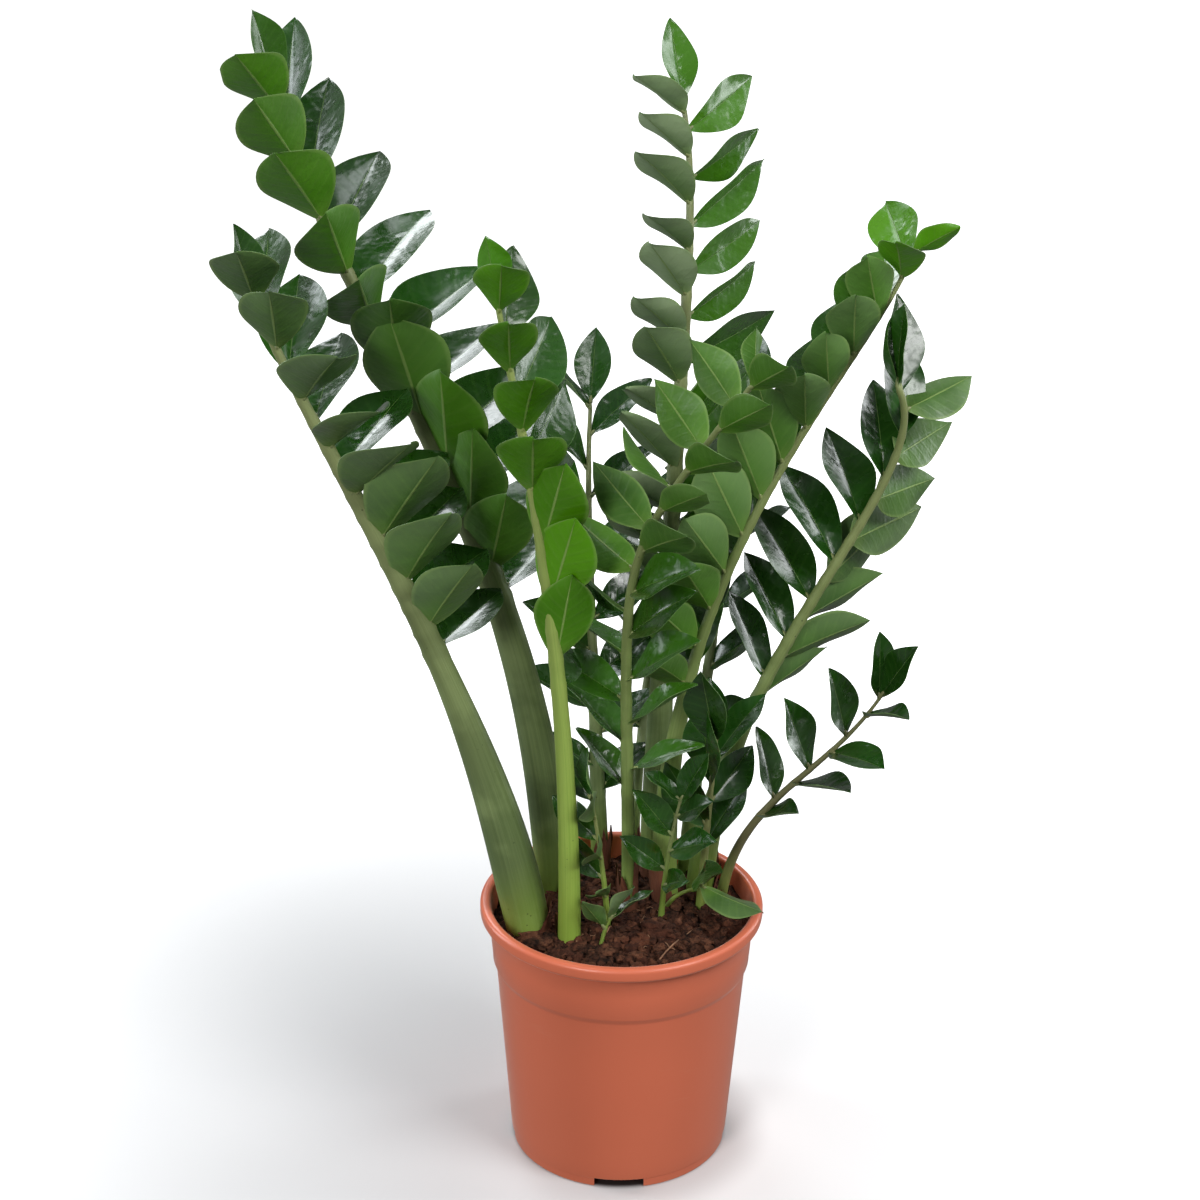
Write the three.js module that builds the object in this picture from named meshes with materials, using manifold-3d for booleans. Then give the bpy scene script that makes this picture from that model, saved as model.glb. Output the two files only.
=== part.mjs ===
// Potted ZZ plant (Zamioculcas zamiifolia) in a round plastic nursery pot.
// Millimetres, +Z up. The origin is the middle of the pot's foot, -Y faces the viewer.
import * as THREE from 'three';
import { mergeVertices } from 'three/addons/utils/BufferGeometryUtils.js';
import Module from 'manifold-3d';

// ---- Driving dimensions: pot -------------------------------------------------------------
const POT_HEIGHT = 230;
const RIM_RADIUS = 120;
const MOUTH_RADIUS = 111;
const RIM_LIP_HEIGHT = 12;
const RIM_ROUNDING = 3.5;
const RIM_UNDERCUT = 0.5;
const WALL = 2.4;
const FOOT_RADIUS = 93;
const FOOT_RING_WIDTH = 3;
const FOOT_HEIGHT = 9;
const FLOOR_THICKNESS = 2.5;
const FOOT_PAD_RADIUS = 24;
const FOOT_PAD_FLARE = 2;
const FOOT_FILLET = 0.6;
const LOWER_WALL_Z = 22;
const LOWER_WALL_RADIUS = 95.3;
const STACKING_STEP_Z = 172;
const STACKING_STEP_HEIGHT = 5;
const STACKING_STEP_RADIUS = 106.8;
const COLLAR_RADIUS = 109.5;
const COLLAR_TOP_RADIUS = 112.5;
const NOTCH_WIDTH = 42;
const NOTCH_HEIGHT = 8.2;
const NOTCH_DEPTH = 14;
const NOTCH_COUNT = 4;
const DRAIN_COUNT = 6;
const DRAIN_RADIUS = 6;
const DRAIN_CIRCLE = 58;
const DRAIN_SIDES = 8;
const ROUND_SEGMENTS = 36;

// ---- Driving dimensions: soil ------------------------------------------------------------
const CLEARANCE = 0.3;
const SOIL_EDGE_Z = 209;
const SOIL_MOUND_HEIGHT = 11;
const SOIL_MOUND_CENTRE = [28, -12];
const SOIL_MOUND_SPREAD = 52;
const SOIL_CRUMB_HEIGHT = 1.6;
const SOIL_RINGS = 5;
const SOIL_EDGE_DROP = 4;
const SOIL_EDGE_INSET = 2;
const WALL_CLEARANCE = 1.4 * CLEARANCE;
const HOLE_CLEARANCE = 1.2 * CLEARANCE;

// ---- Driving dimensions: leaves ----------------------------------------------------------
const LEAF_THICKNESS = 1.8;
const LEAF_STATIONS = [0.2, 0.5, 0.8];
const LEAF_FOLD = 20;
const LEAF_CURL = 0.07;
const LEAF_GAP = 5;
const OWN_LEAF_GAP = 0.8;
const STALK_STATIONS = 12;
const AXIS_STEPS = 80;
// A stalk's number of sides for a foot radius up to the one given.
const STALK_SIDES = [[4, 5], [11, 6], [Infinity, 8]];
const LAST_LEAF_AT = 0.985;
const POSE_SHARES = [0, 0.5, 1];
const RANK_OFFSET = 0.45;
const CROWDING = 0.97;
const SIZE_SHARES = [0, 0.35, 1];
const SIZES = [0.78, 1, 0.8];
const TIP_SINK = 2;
const BELLY_SHARES = [0, 0.13, 0.22, 0.45, 1];
const BELLY_TAPER = 0.93;
// How much chance changes each leaf, in degrees, or as a share of its length.
const POSE_JITTER = 6;
const ROLL_JITTER = 13;
const FOLD_JITTER = 5;
const LENGTH_JITTER = 0.06;
const WIDTH_JITTER = 0.04;
const CURL_JITTER = 0.06;
const TIP_ANGLE_JITTER = 4;
const TIP_ROLL_JITTER = 8;
// A leaf hangs this far above the rim, or this far inside it and no lower than this below it.
const OVER_RIM = 6;
const INSIDE_RIM = 11;
const BELOW_RIM = 6;

// Each frond: a stalk on a Bezier route from under the soil to its tip, with its radius at the
// foot, belly, middle and tip, and two ranks of leaves that start part of the way up. A rank has
// its leaves' angle from the stalk, their lift out of the frond's plane and the roll of their
// blades, each at the lowest, the middle and the topmost leaf. 'facing' is the compass side the
// frond's face has, in degrees from +X. 'leafWide' is a leaf's width as a share of its length.
// 'tip' is the end leaf: its share of the full length, angle, lift and roll.
const FRONDS = [
  {
    name: 'frond_left_low', seed: 11, pairs: 8,
    leafLength: 117, leafWide: 0.55, leafStart: 0.5, facing: -5,
    route: [[-70, -17, 150], [-106, -22, 447], [-230, -45, 616], [-281, -70, 779]],
    radii: [15, 20, 10.5, 2.2], tip: [0.47, 7, 89, 31],
    far: [[91, 90, 59], [30, 24, -10], [71, 66, 98]],
    near: [[48, 64, 40], [73, 64, 23], [104, 96, 78]],
  },
  {
    name: 'frond_left_tall', seed: 12, pairs: 10,
    leafLength: 130, leafWide: 0.55, leafStart: 0.43, facing: -12,
    route: [[-57, 51, 150], [-56, 55, 531], [-219, 70, 681], [-278, 90, 891]],
    radii: [12, 17, 11.5, 2.2], tip: [0.57, 22, 146, -23],
    far: [[76, 83, 32], [35, 39, 4], [86, 68, 106]],
    near: [[34, 57, 51], [47, 25, 14], [108, 104, 109]],
  },
  {
    name: 'frond_front', seed: 13, pairs: 7,
    leafLength: 100, leafWide: 0.56, leafStart: 0.48, facing: -10,
    route: [[-45, -38, 150], [-35, -42, 459], [-83, -55, 665], [-99, -60, 770]],
    radii: [10.5, 9.5, 6.5, 2], tip: [0.53, 5, -213, -39],
    far: [[81, 86, 47], [-3, 16, 11], [38, 20, 27]],
    near: [[16, 33, 39], [74, 36, 20], [91, 88, 97]],
  },
  {
    name: 'frond_centre_back', seed: 14, pairs: 12,
    leafLength: 106, leafWide: 0.43, leafStart: 0.42, facing: -60,
    route: [[28, 68, 150], [31, 88, 607], [64, 115, 786], [42, 150, 878]],
    radii: [11, 13, 8, 1.8], tip: [0.7, 13, -38, 0],
    far: [[52, 63, 62], [15, -13, -7], [-22, -14, -29]],
    near: [[51, 57, 63], [9, 29, 27], [109, 133, 90]],
  },
  {
    name: 'frond_right', seed: 17, pairs: 8,
    leafLength: 98, leafWide: 0.5, leafStart: 0.45, facing: 198,
    route: [[70, 47, 150], [45, 45, 416], [264, 30, 596], [210, 10, 685]],
    radii: [11, 12, 5.4, 2.6], tip: [0.67, 22, -95, 38],
    far: [[39, 71, 98], [-102, -124, -126], [-66, -55, -52]],
    near: [[52, 67, 38], [37, 28, -30], [101, 81, 112]],
  },
  {
    name: 'frond_right_arch', seed: 16, pairs: 12,
    leafLength: 92, leafWide: 0.52, leafStart: 0.4, facing: 195,
    route: [[46, 20, 150], [-11, 20, 505], [201, 50, 690], [223, 60, 779]],
    radii: [10, 11, 4.6, 1.8], tip: [0.51, 41, -39, 91],
    far: [[59, 53, 57], [70, 69, 36], [69, 82, 88]],
    near: [[30, 59, 57], [-21, 1, 6], [22, 30, 40]],
  },
  {
    name: 'frond_middle', seed: 15, pairs: 10,
    leafLength: 88, leafWide: 0.48, leafStart: 0.3, facing: 130,
    route: [[7, 1, 150], [5, -10, 574], [-29, -60, 531], [92, -120, 730]],
    radii: [7, 6.2, 4.6, 1.8], tip: [0.48, 39, 52, -8],
    far: [[49, 102, 94], [82, 87, 96], [161, 149, 179]],
    near: [[65, 31, 32], [-37, -90, -120], [62, 54, 49]],
  },
  {
    name: 'frond_low_right', seed: 18, pairs: 4,
    leafLength: 76, leafWide: 0.5, leafStart: 0.5, facing: 198,
    route: [[86, 22, 150], [70, 20, 314], [157, -15, 336], [207, -35, 438]],
    radii: [5, 5, 3.5, 1.3], tip: [0.81, 8, -141, -3],
    far: [[36, 39, 42], [15, 14, 13], [51, 58, 66]],
    near: [[59, 53, 34], [27, 63, 46], [99, 92, 98]],
  },
  {
    name: 'frond_short_right', seed: 19, pairs: 3,
    leafLength: 84, leafWide: 0.5, leafStart: 0.55, facing: -80,
    route: [[66, 8, 150], [68, 4, 280], [74, 0, 330], [76, -8, 385]],
    radii: [5, 5, 3.5, 1.5], tip: [0.62, 15, -112, 32],
    far: [[41, 69, 70], [-36, -47, -37], [65, 63, 60]],
    near: [[36, 30, 21], [-15, 8, 3], [-31, -21, -28]],
  },
  {
    name: 'frond_back_left', seed: 20, pairs: 7,
    leafLength: 84, leafWide: 0.48, leafStart: 0.28, facing: -80,
    route: [[-16, 82, 150], [-24, 95, 400], [-35, 140, 520], [-30, 190, 610]],
    radii: [8, 8, 5, 1.6], tip: [0.8, 0, 20, 20],
    far: [[60, 52.5, 45], [30, 22.5, 15], [55, 55, 55]],
    near: [[60, 52.5, 45], [30, 22.5, 15], [55, 55, 55]],
  },
  {
    name: 'frond_back_right', seed: 21, pairs: 6,
    leafLength: 84, leafWide: 0.48, leafStart: 0.4, facing: -110,
    route: [[54, 71, 150], [66, 96, 400], [95, 170, 520], [110, 230, 600]],
    radii: [8, 8, 5, 1.6], tip: [0.8, 0, 20, -20],
    far: [[60, 52.5, 45], [30, 22.5, 15], [55, 55, 55]],
    near: [[60, 52.5, 45], [30, 22.5, 15], [55, 55, 55]],
  },
  {
    name: 'frond_back_low', seed: 22, pairs: 4,
    leafLength: 74, leafWide: 0.48, leafStart: 0.4, facing: -90,
    route: [[6, 79, 150], [14, 104, 340], [30, 190, 440], [42, 260, 480]],
    radii: [6, 6, 4, 1.4], tip: [0.8, 0, 20, 0],
    far: [[60, 52.5, 45], [30, 22.5, 15], [55, 55, 55]],
    near: [[60, 52.5, 45], [30, 22.5, 15], [55, 55, 55]],
  },
  {
    name: 'sprout_rim', seed: 23, pairs: 1,
    leafLength: 74, leafWide: 0.5, leafStart: 0.75, facing: -40,
    route: [[31, 4, 180], [34, 1, 236], [50, -6, 236], [68, -12, 249]],
    radii: [3.2, 3, 2.2, 1.2], tip: [0.91, 41, 76, 48],
    far: [[72, 80, 66], [-6, -14, -10], [-63, -82, -62]],
    near: [[60, 52.5, 45], [0, 0, 0], [30, 30, 30]],
  },
  {
    name: 'sprout_front', seed: 24, pairs: 1,
    leafLength: 52, leafWide: 0.48, leafStart: 0.8, facing: 120,
    route: [[-19, -48, 180], [-18, -50, 215], [-15, -50, 228], [-9, -52, 240]],
    radii: [3, 3, 2.2, 1.2], tip: [0.8, 0, 20, 0],
    far: [[50, 47.5, 45], [10, 10, 10], [40, 40, 40]],
    near: [[50, 47.5, 45], [10, 10, 10], [40, 40, 40]],
  },
  {
    name: 'sprout_middle', seed: 25, pairs: 3,
    leafLength: 62, leafWide: 0.48, leafStart: 0.4, facing: 200,
    route: [[-10, -20, 180], [-12, -24, 250], [-20, -28, 300], [-26, -30, 340]],
    radii: [3, 3, 2.2, 1.2], tip: [0.9, 10, 20, 30],
    far: [[50, 45, 40], [40, 35, 30], [60, 60, 60]],
    near: [[50, 45, 40], [40, 35, 30], [60, 60, 60]],
  },
  {
    name: 'sprout_right', seed: 26, pairs: 3,
    leafLength: 60, leafWide: 0.48, leafStart: 0.45, facing: -120,
    route: [[33, -10, 180], [33, -14, 250], [40, -18, 300], [48, -20, 335]],
    radii: [3.2, 3, 2.2, 1.2], tip: [0.9, 10, 20, 30],
    far: [[50, 45, 40], [30, 25, 20], [50, 50, 50]],
    near: [[50, 45, 40], [30, 25, 20], [50, 50, 50]],
  },
];

// ---- Materials ---------------------------------------------------------------------------
const POT_COLOUR = 0xb85f40;
const SOIL_COLOUR = 0x4a2f22;
const FOLIAGE_COLOUR = 0x2f6a2a;

function potMaterial() {
  return new THREE.MeshStandardMaterial({ color: POT_COLOUR, roughness: 0.55, metalness: 0 });
}

function soilMaterial() {
  return new THREE.MeshStandardMaterial({ color: SOIL_COLOUR, roughness: 1, metalness: 0 });
}

function foliageMaterial() {
  return new THREE.MeshStandardMaterial({ color: FOLIAGE_COLOUR, roughness: 0.35, metalness: 0 });
}

// ---- Helpers -----------------------------------------------------------------------------
const wasm = await Module();
wasm.setup();

const radians = THREE.MathUtils.degToRad;
const mix = THREE.MathUtils.lerp;

// A small seeded generator, so that every run grows the same plant.
function seededRandom(seed) {
  let state = seed >>> 0;
  return () => {
    state = (state + 0x6d2b79f5) >>> 0;
    let t = Math.imul(state ^ (state >>> 15), state | 1);
    t ^= t + Math.imul(t ^ (t >>> 7), t | 61);
    return ((t ^ (t >>> 14)) >>> 0) / 4294967296;
  };
}

// Straight lines between the given stations.
function piecewise(x, stations, values) {
  const last = stations.length - 1;
  if (x >= stations[last]) {
    return values[last];
  }
  let i = 0;
  while (x > stations[i + 1]) {
    i += 1;
  }
  return mix(values[i], values[i + 1], (x - stations[i]) / (stations[i + 1] - stations[i]));
}

// A closed geometry becomes a solid: its shared corners are merged and flat triangles dropped.
function solidFrom(geometry) {
  geometry.deleteAttribute('normal');
  geometry.deleteAttribute('uv');
  const merged = mergeVertices(geometry, 1e-4);
  const corners = merged.index.array;
  const triangles = [];
  for (let i = 0; i < corners.length; i += 3) {
    const [a, b, c] = corners.subarray(i, i + 3);
    if (a !== b && b !== c && c !== a) {
      triangles.push(a, b, c);
    }
  }
  return new wasm.Manifold(new wasm.Mesh({
    numProp: 3,
    vertProperties: new Float32Array(merged.attributes.position.array),
    triVerts: new Uint32Array(triangles),
  }));
}

function namedMesh(name, solid, material) {
  const result = solid.getMesh();
  const geometry = new THREE.BufferGeometry();
  geometry.setAttribute('position', new THREE.BufferAttribute(result.vertProperties, 3));
  geometry.setIndex(new THREE.BufferAttribute(result.triVerts, 1));
  geometry.computeVertexNormals();
  const mesh = new THREE.Mesh(geometry, material);
  mesh.name = name;
  return mesh;
}

// ---- Pot ---------------------------------------------------------------------------------
const POT_FLOOR_Z = FOOT_HEIGHT + FLOOR_THICKNESS;
const RIM_Z = POT_HEIGHT - RIM_LIP_HEIGHT;

// The wall's inside from the floor up to the mouth, as [radius, z].
const INNER_WALL = [
  [FOOT_RADIUS - WALL + FOOT_FILLET, POT_FLOOR_Z],
  [LOWER_WALL_RADIUS - WALL, LOWER_WALL_Z],
  [STACKING_STEP_RADIUS - WALL, STACKING_STEP_Z],
  [COLLAR_RADIUS - WALL, STACKING_STEP_Z + STACKING_STEP_HEIGHT],
  [COLLAR_TOP_RADIUS - WALL, RIM_Z],
];

function potSolid() {
  const profile = [
    [0, 0],
    [FOOT_PAD_RADIUS, 0],
    [FOOT_PAD_RADIUS + FOOT_PAD_FLARE, FOOT_HEIGHT],
    [FOOT_RADIUS - FOOT_RING_WIDTH - FOOT_FILLET, FOOT_HEIGHT],
    [FOOT_RADIUS - FOOT_RING_WIDTH, 0],
    [FOOT_RADIUS, 0],
    [LOWER_WALL_RADIUS, LOWER_WALL_Z],
    [STACKING_STEP_RADIUS, STACKING_STEP_Z],
    [COLLAR_RADIUS, STACKING_STEP_Z + STACKING_STEP_HEIGHT],
    [COLLAR_TOP_RADIUS, RIM_Z],
    [RIM_RADIUS - RIM_ROUNDING / 2, RIM_Z + RIM_UNDERCUT],
    [RIM_RADIUS, RIM_Z + RIM_ROUNDING],
    [RIM_RADIUS, POT_HEIGHT - RIM_ROUNDING],
    [RIM_RADIUS - RIM_ROUNDING, POT_HEIGHT],
    [MOUTH_RADIUS + RIM_ROUNDING, POT_HEIGHT],
    [MOUTH_RADIUS, POT_HEIGHT - RIM_ROUNDING],
    ...INNER_WALL.toReversed(),
    [0, POT_FLOOR_Z],
  ];
  const points = profile.map(([radius, z]) => new THREE.Vector2(radius, z));
  const lathe = new THREE.LatheGeometry(points, ROUND_SEGMENTS).rotateX(Math.PI / 2);
  let pot = solidFrom(lathe);
  for (let i = 0; i < NOTCH_COUNT; i += 1) {
    const notch = new THREE.BoxGeometry(NOTCH_WIDTH, NOTCH_DEPTH, 2 * NOTCH_HEIGHT);
    notch.translate(0, FOOT_RADIUS - FOOT_RING_WIDTH / 2, 0);
    notch.rotateZ((i * 2 * Math.PI) / NOTCH_COUNT);
    pot = pot.subtract(solidFrom(notch));
  }
  for (let i = 0; i < DRAIN_COUNT; i += 1) {
    const drain = new THREE.CylinderGeometry(
      DRAIN_RADIUS, DRAIN_RADIUS, 4 * FLOOR_THICKNESS, DRAIN_SIDES);
    drain.rotateX(Math.PI / 2).translate(DRAIN_CIRCLE, 0, FOOT_HEIGHT + FLOOR_THICKNESS / 2);
    drain.rotateZ(((i + 0.5) * 2 * Math.PI) / DRAIN_COUNT);
    pot = pot.subtract(solidFrom(drain));
  }
  return pot;
}

// ---- Soil --------------------------------------------------------------------------------
function soilHeight(x, y) {
  const dx = x - SOIL_MOUND_CENTRE[0];
  const dy = y - SOIL_MOUND_CENTRE[1];
  const mound = Math.exp(-(dx * dx + dy * dy) / (2 * SOIL_MOUND_SPREAD ** 2));
  const crumbs = Math.sin(0.31 * x + 0.17 * y) * Math.sin(0.23 * y - 0.11 * x)
    + 0.7 * Math.sin(0.47 * x - 0.39 * y);
  return SOIL_EDGE_Z + SOIL_MOUND_HEIGHT * mound + SOIL_CRUMB_HEIGHT * crumbs;
}

function soilSolid(stalkHoles) {
  const [collarFoot, collarTop] = INNER_WALL.slice(-2);
  const edgeRadius = mix(collarFoot[0], collarTop[0],
    (SOIL_EDGE_Z - collarFoot[1]) / (collarTop[1] - collarFoot[1]));
  const wallFoot = INNER_WALL.slice(0, -1).map(([radius, z]) => [radius - WALL_CLEARANCE, z]);
  wallFoot[0][1] += CLEARANCE;
  const topEdge = edgeRadius - WALL_CLEARANCE;
  const profile = [[0, POT_FLOOR_Z + CLEARANCE], ...wallFoot, [topEdge, SOIL_EDGE_Z - SOIL_EDGE_DROP]];
  for (let i = SOIL_RINGS; i >= 0; i -= 1) {
    profile.push([((topEdge - SOIL_EDGE_INSET) * i) / SOIL_RINGS, SOIL_EDGE_Z]);
  }
  const points = profile.map(([radius, z]) => new THREE.Vector2(radius, z));
  const geometry = new THREE.LatheGeometry(points, ROUND_SEGMENTS).rotateX(Math.PI / 2);
  const position = geometry.attributes.position;
  for (let i = 0; i < position.count; i += 1) {
    if (position.getZ(i) > SOIL_EDGE_Z - 1) {
      position.setZ(i, soilHeight(position.getX(i), position.getY(i)));
    }
  }
  return stalkHoles.reduce((soil, hole) => soil.subtract(hole), solidFrom(geometry));
}

// ---- Fronds ------------------------------------------------------------------------------
function stalkCurve(frond) {
  return new THREE.CubicBezierCurve3(...frond.route.map((point) => new THREE.Vector3(...point)));
}

function stalkRadius(frond, share) {
  const [foot, belly, middle, tip] = frond.radii;
  return piecewise(share, BELLY_SHARES, [foot, belly, BELLY_TAPER * belly, middle, tip]);
}

// The stalk's axis point and its frame: along it, out of the frond's face, and sideways.
function stalkFrame(frond, share) {
  const facing = radians(frond.facing);
  const point = frond.curve.getPointAt(share);
  const along = frond.curve.getTangentAt(share);
  const out = new THREE.Vector3(Math.cos(facing), Math.sin(facing), 0);
  out.addScaledVector(along, -out.dot(along)).normalize();
  return { point, along, out, side: along.clone().cross(out) };
}

// A tapered tube: a cylinder whose rings are moved onto the stalk's route.
function stalkSolid(frond, growth) {
  const sides = STALK_SIDES.find(([upTo]) => frond.radii[0] <= upTo)[1];
  const geometry = new THREE.CylinderGeometry(1, 1, 1, sides, STALK_STATIONS);
  const position = geometry.attributes.position;
  for (let i = 0; i < position.count; i += 1) {
    const share = THREE.MathUtils.clamp(position.getY(i) + 0.5, 0, 1);
    const { point, along, out, side } = stalkFrame(frond, share);
    const radius = stalkRadius(frond, share) + growth;
    point.addScaledVector(out, position.getX(i) * radius);
    point.addScaledVector(side, -position.getZ(i) * radius);
    if (share === 0) {
      point.addScaledVector(along, -growth);
    }
    position.setXYZ(i, point.x, point.y, point.z);
  }
  return solidFrom(geometry);
}

// The blade's normal is the frond's face turned about the leaf by its roll.
function bladeNormal(direction, frame, roll) {
  const base = frame.out.clone().addScaledVector(direction, -frame.out.dot(direction)).normalize();
  const turned = direction.clone().cross(base);
  if (turned.dot(frame.along) < 0) {
    turned.negate();
  }
  return base.multiplyScalar(Math.cos(roll)).addScaledVector(turned, Math.sin(roll)).normalize();
}

// The leaf with its angle, lift, roll and size changed, worked out as a placed blade.
function placedLeaf(leaf, change) {
  const angle = leaf.angle + radians(change.angle);
  const lift = leaf.lift + radians(change.lift);
  const { along, out, side } = leaf.frame;
  const direction = along.clone().multiplyScalar(Math.cos(angle));
  direction.addScaledVector(side, Math.sin(angle) * Math.cos(lift) * leaf.rank);
  direction.addScaledVector(out, Math.sin(angle) * Math.sin(lift)).normalize();
  const normal = bladeNormal(direction, leaf.frame, leaf.roll + radians(change.roll));
  const placed = {
    frond: leaf.frond,
    base: leaf.base,
    direction,
    normal,
    across: normal.clone().cross(direction),
    length: leaf.length * change.scale,
    width: leaf.width * change.scale,
    fold: leaf.fold,
    curl: leaf.curl,
  };
  placed.middle = placed.base.clone().addScaledVector(direction, placed.length / 2);
  placed.points = SAMPLE_GRID.map(([t, b]) => bladePoint(placed, t, b));
  return placed;
}

// Half the blade's outline: widest in the middle, a wedge at the root, bluntly pointed.
function outline(t) {
  return Math.max(Math.sin(Math.PI * t ** 1.05), 0) ** (0.8 + 0.15 * t);
}

function bladeHeight(leaf, t, sideways) {
  return Math.abs(sideways) * Math.tan(leaf.fold) - leaf.curl * leaf.length * t * t;
}

// A point of the blade at the share t of its length and b of its half width.
function bladePoint(leaf, t, b) {
  const sideways = (b * outline(t) * leaf.width) / 2;
  const point = leaf.base.clone().addScaledVector(leaf.direction, t * leaf.length);
  point.addScaledVector(leaf.across, sideways);
  return point.addScaledVector(leaf.normal, bladeHeight(leaf, t, sideways));
}

function frondLeaves(frond) {
  const random = seededRandom(frond.seed);
  const jitter = (amount) => (2 * random() - 1) * amount;
  const leaves = [];
  for (let i = 0; i < frond.pairs; i += 1) {
    for (const rank of [1, -1]) {
      const place = i + (rank === 1 ? 0 : RANK_OFFSET);
      const share = Math.min(place / (frond.pairs - 1 + RANK_OFFSET), 1);
      const climb = (1 - (1 - share) ** CROWDING) * LAST_LEAF_AT;
      const at = Math.min(frond.leafStart + (1 - frond.leafStart) * climb, LAST_LEAF_AT);
      const frame = stalkFrame(frond, at);
      const pose = rank === 1 ? frond.far : frond.near;
      const [poseAngle, poseLift, poseRoll] = pose.map((values) => piecewise(share, POSE_SHARES, values));
      const angle = radians(poseAngle + jitter(POSE_JITTER));
      const lift = radians(poseLift + jitter(POSE_JITTER));
      const roll = radians(poseRoll + jitter(ROLL_JITTER));
      const size = piecewise(share, SIZE_SHARES, SIZES);
      const length = frond.leafLength * size * (1 + jitter(LENGTH_JITTER));
      const width = length * (frond.leafWide + jitter(WIDTH_JITTER));
      const fold = radians(LEAF_FOLD + jitter(FOLD_JITTER));
      const curl = LEAF_CURL + jitter(CURL_JITTER);
      leaves.push({
        frond, frame, rank, angle, lift, roll, length, width, fold, curl, base: frame.point,
      });
    }
  }
  const [tipSize, tipAngle, tipLift, tipRoll] = frond.tip;
  const frame = stalkFrame(frond, 1);
  leaves.push({
    frond,
    frame,
    rank: 1,
    angle: radians(tipAngle + jitter(TIP_ANGLE_JITTER)),
    lift: radians(tipLift),
    roll: radians(tipRoll + jitter(TIP_ROLL_JITTER)),
    length: frond.leafLength * tipSize,
    width: frond.leafLength * tipSize * frond.leafWide,
    fold: radians(LEAF_FOLD),
    curl: LEAF_CURL,
    base: frame.point.clone().addScaledVector(frame.along, -TIP_SINK),
  });
  return leaves;
}

// ---- Leaves keep clear of other fronds ---------------------------------------------------
const SAMPLE_ROWS = 10;
const FIRST_SAMPLE_AT = 0.12;
const SAMPLE_GRID = [];
for (let i = 0; i < SAMPLE_ROWS; i += 1) {
  for (const b of [-1, -0.5, 0, 0.5, 1]) {
    SAMPLE_GRID.push([mix(FIRST_SAMPLE_AT, 1, i / (SAMPLE_ROWS - 1)), b]);
  }
}

const CHANGES = [];
for (const scale of [1, 0.88, 0.76, 0.62]) {
  for (const angle of [0, -10, 10, -20, 18]) {
    for (const roll of [0, -20, 20, -40, 40]) {
      for (const lift of [0, -7, 7, -14, 14]) {
        CHANGES.push({ scale, angle, roll, lift });
      }
    }
  }
}

// How near the given points come to a blade.
function gapToBlade(points, leaf) {
  let nearest = Infinity;
  const offset = new THREE.Vector3();
  for (const point of points) {
    offset.subVectors(point, leaf.base);
    const along = offset.dot(leaf.direction);
    const sideways = offset.dot(leaf.across);
    const t = THREE.MathUtils.clamp(along / leaf.length, 0, 1);
    const half = (leaf.width / 2) * outline(t);
    const inside = THREE.MathUtils.clamp(sideways, -half, half);
    const height = offset.dot(leaf.normal) - bladeHeight(leaf, t, inside);
    nearest = Math.min(nearest, Math.hypot(along - t * leaf.length, sideways - inside, height));
  }
  return nearest;
}

function bladesClear(leaf, other) {
  const gap = other.frond === leaf.frond ? OWN_LEAF_GAP : LEAF_GAP;
  if (other.middle.distanceTo(leaf.middle) > (other.length + leaf.length) / 2 + gap) {
    return true;
  }
  return gapToBlade(leaf.points, other) >= gap && gapToBlade(other.points, leaf) >= gap;
}

function clearOfStalk(leaf, frond) {
  if (frond === leaf.frond) {
    return true;
  }
  return frond.axis.every(({ point, radius }) => {
    if (point.distanceTo(leaf.middle) > leaf.length / 2 + radius + LEAF_GAP) {
      return true;
    }
    return leaf.points.every((sample) => sample.distanceTo(point) - radius >= LEAF_GAP);
  });
}

// A leaf that hangs lower than the rim stays inside it and above the soil.
function clearOfPot(leaf) {
  const lowest = Math.min(...leaf.points.map((point) => point.z));
  const widest = Math.max(...leaf.points.map((point) => Math.hypot(point.x, point.y)));
  const insideRim = widest <= MOUTH_RADIUS - INSIDE_RIM && lowest >= POT_HEIGHT - BELOW_RIM;
  return lowest >= POT_HEIGHT + OVER_RIM || insideRim;
}

// Every leaf takes the first change of its pose in which it touches no other frond.
function growLeaves(fronds) {
  const placed = [];
  for (const leaf of fronds.flatMap(frondLeaves)) {
    for (const change of CHANGES) {
      const candidate = placedLeaf(leaf, change);
      if (clearOfPot(candidate) && fronds.every((frond) => clearOfStalk(candidate, frond))
        && placed.every((other) => bladesClear(candidate, other))) {
        placed.push(candidate);
        break;
      }
    }
  }
  return placed;
}

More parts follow.
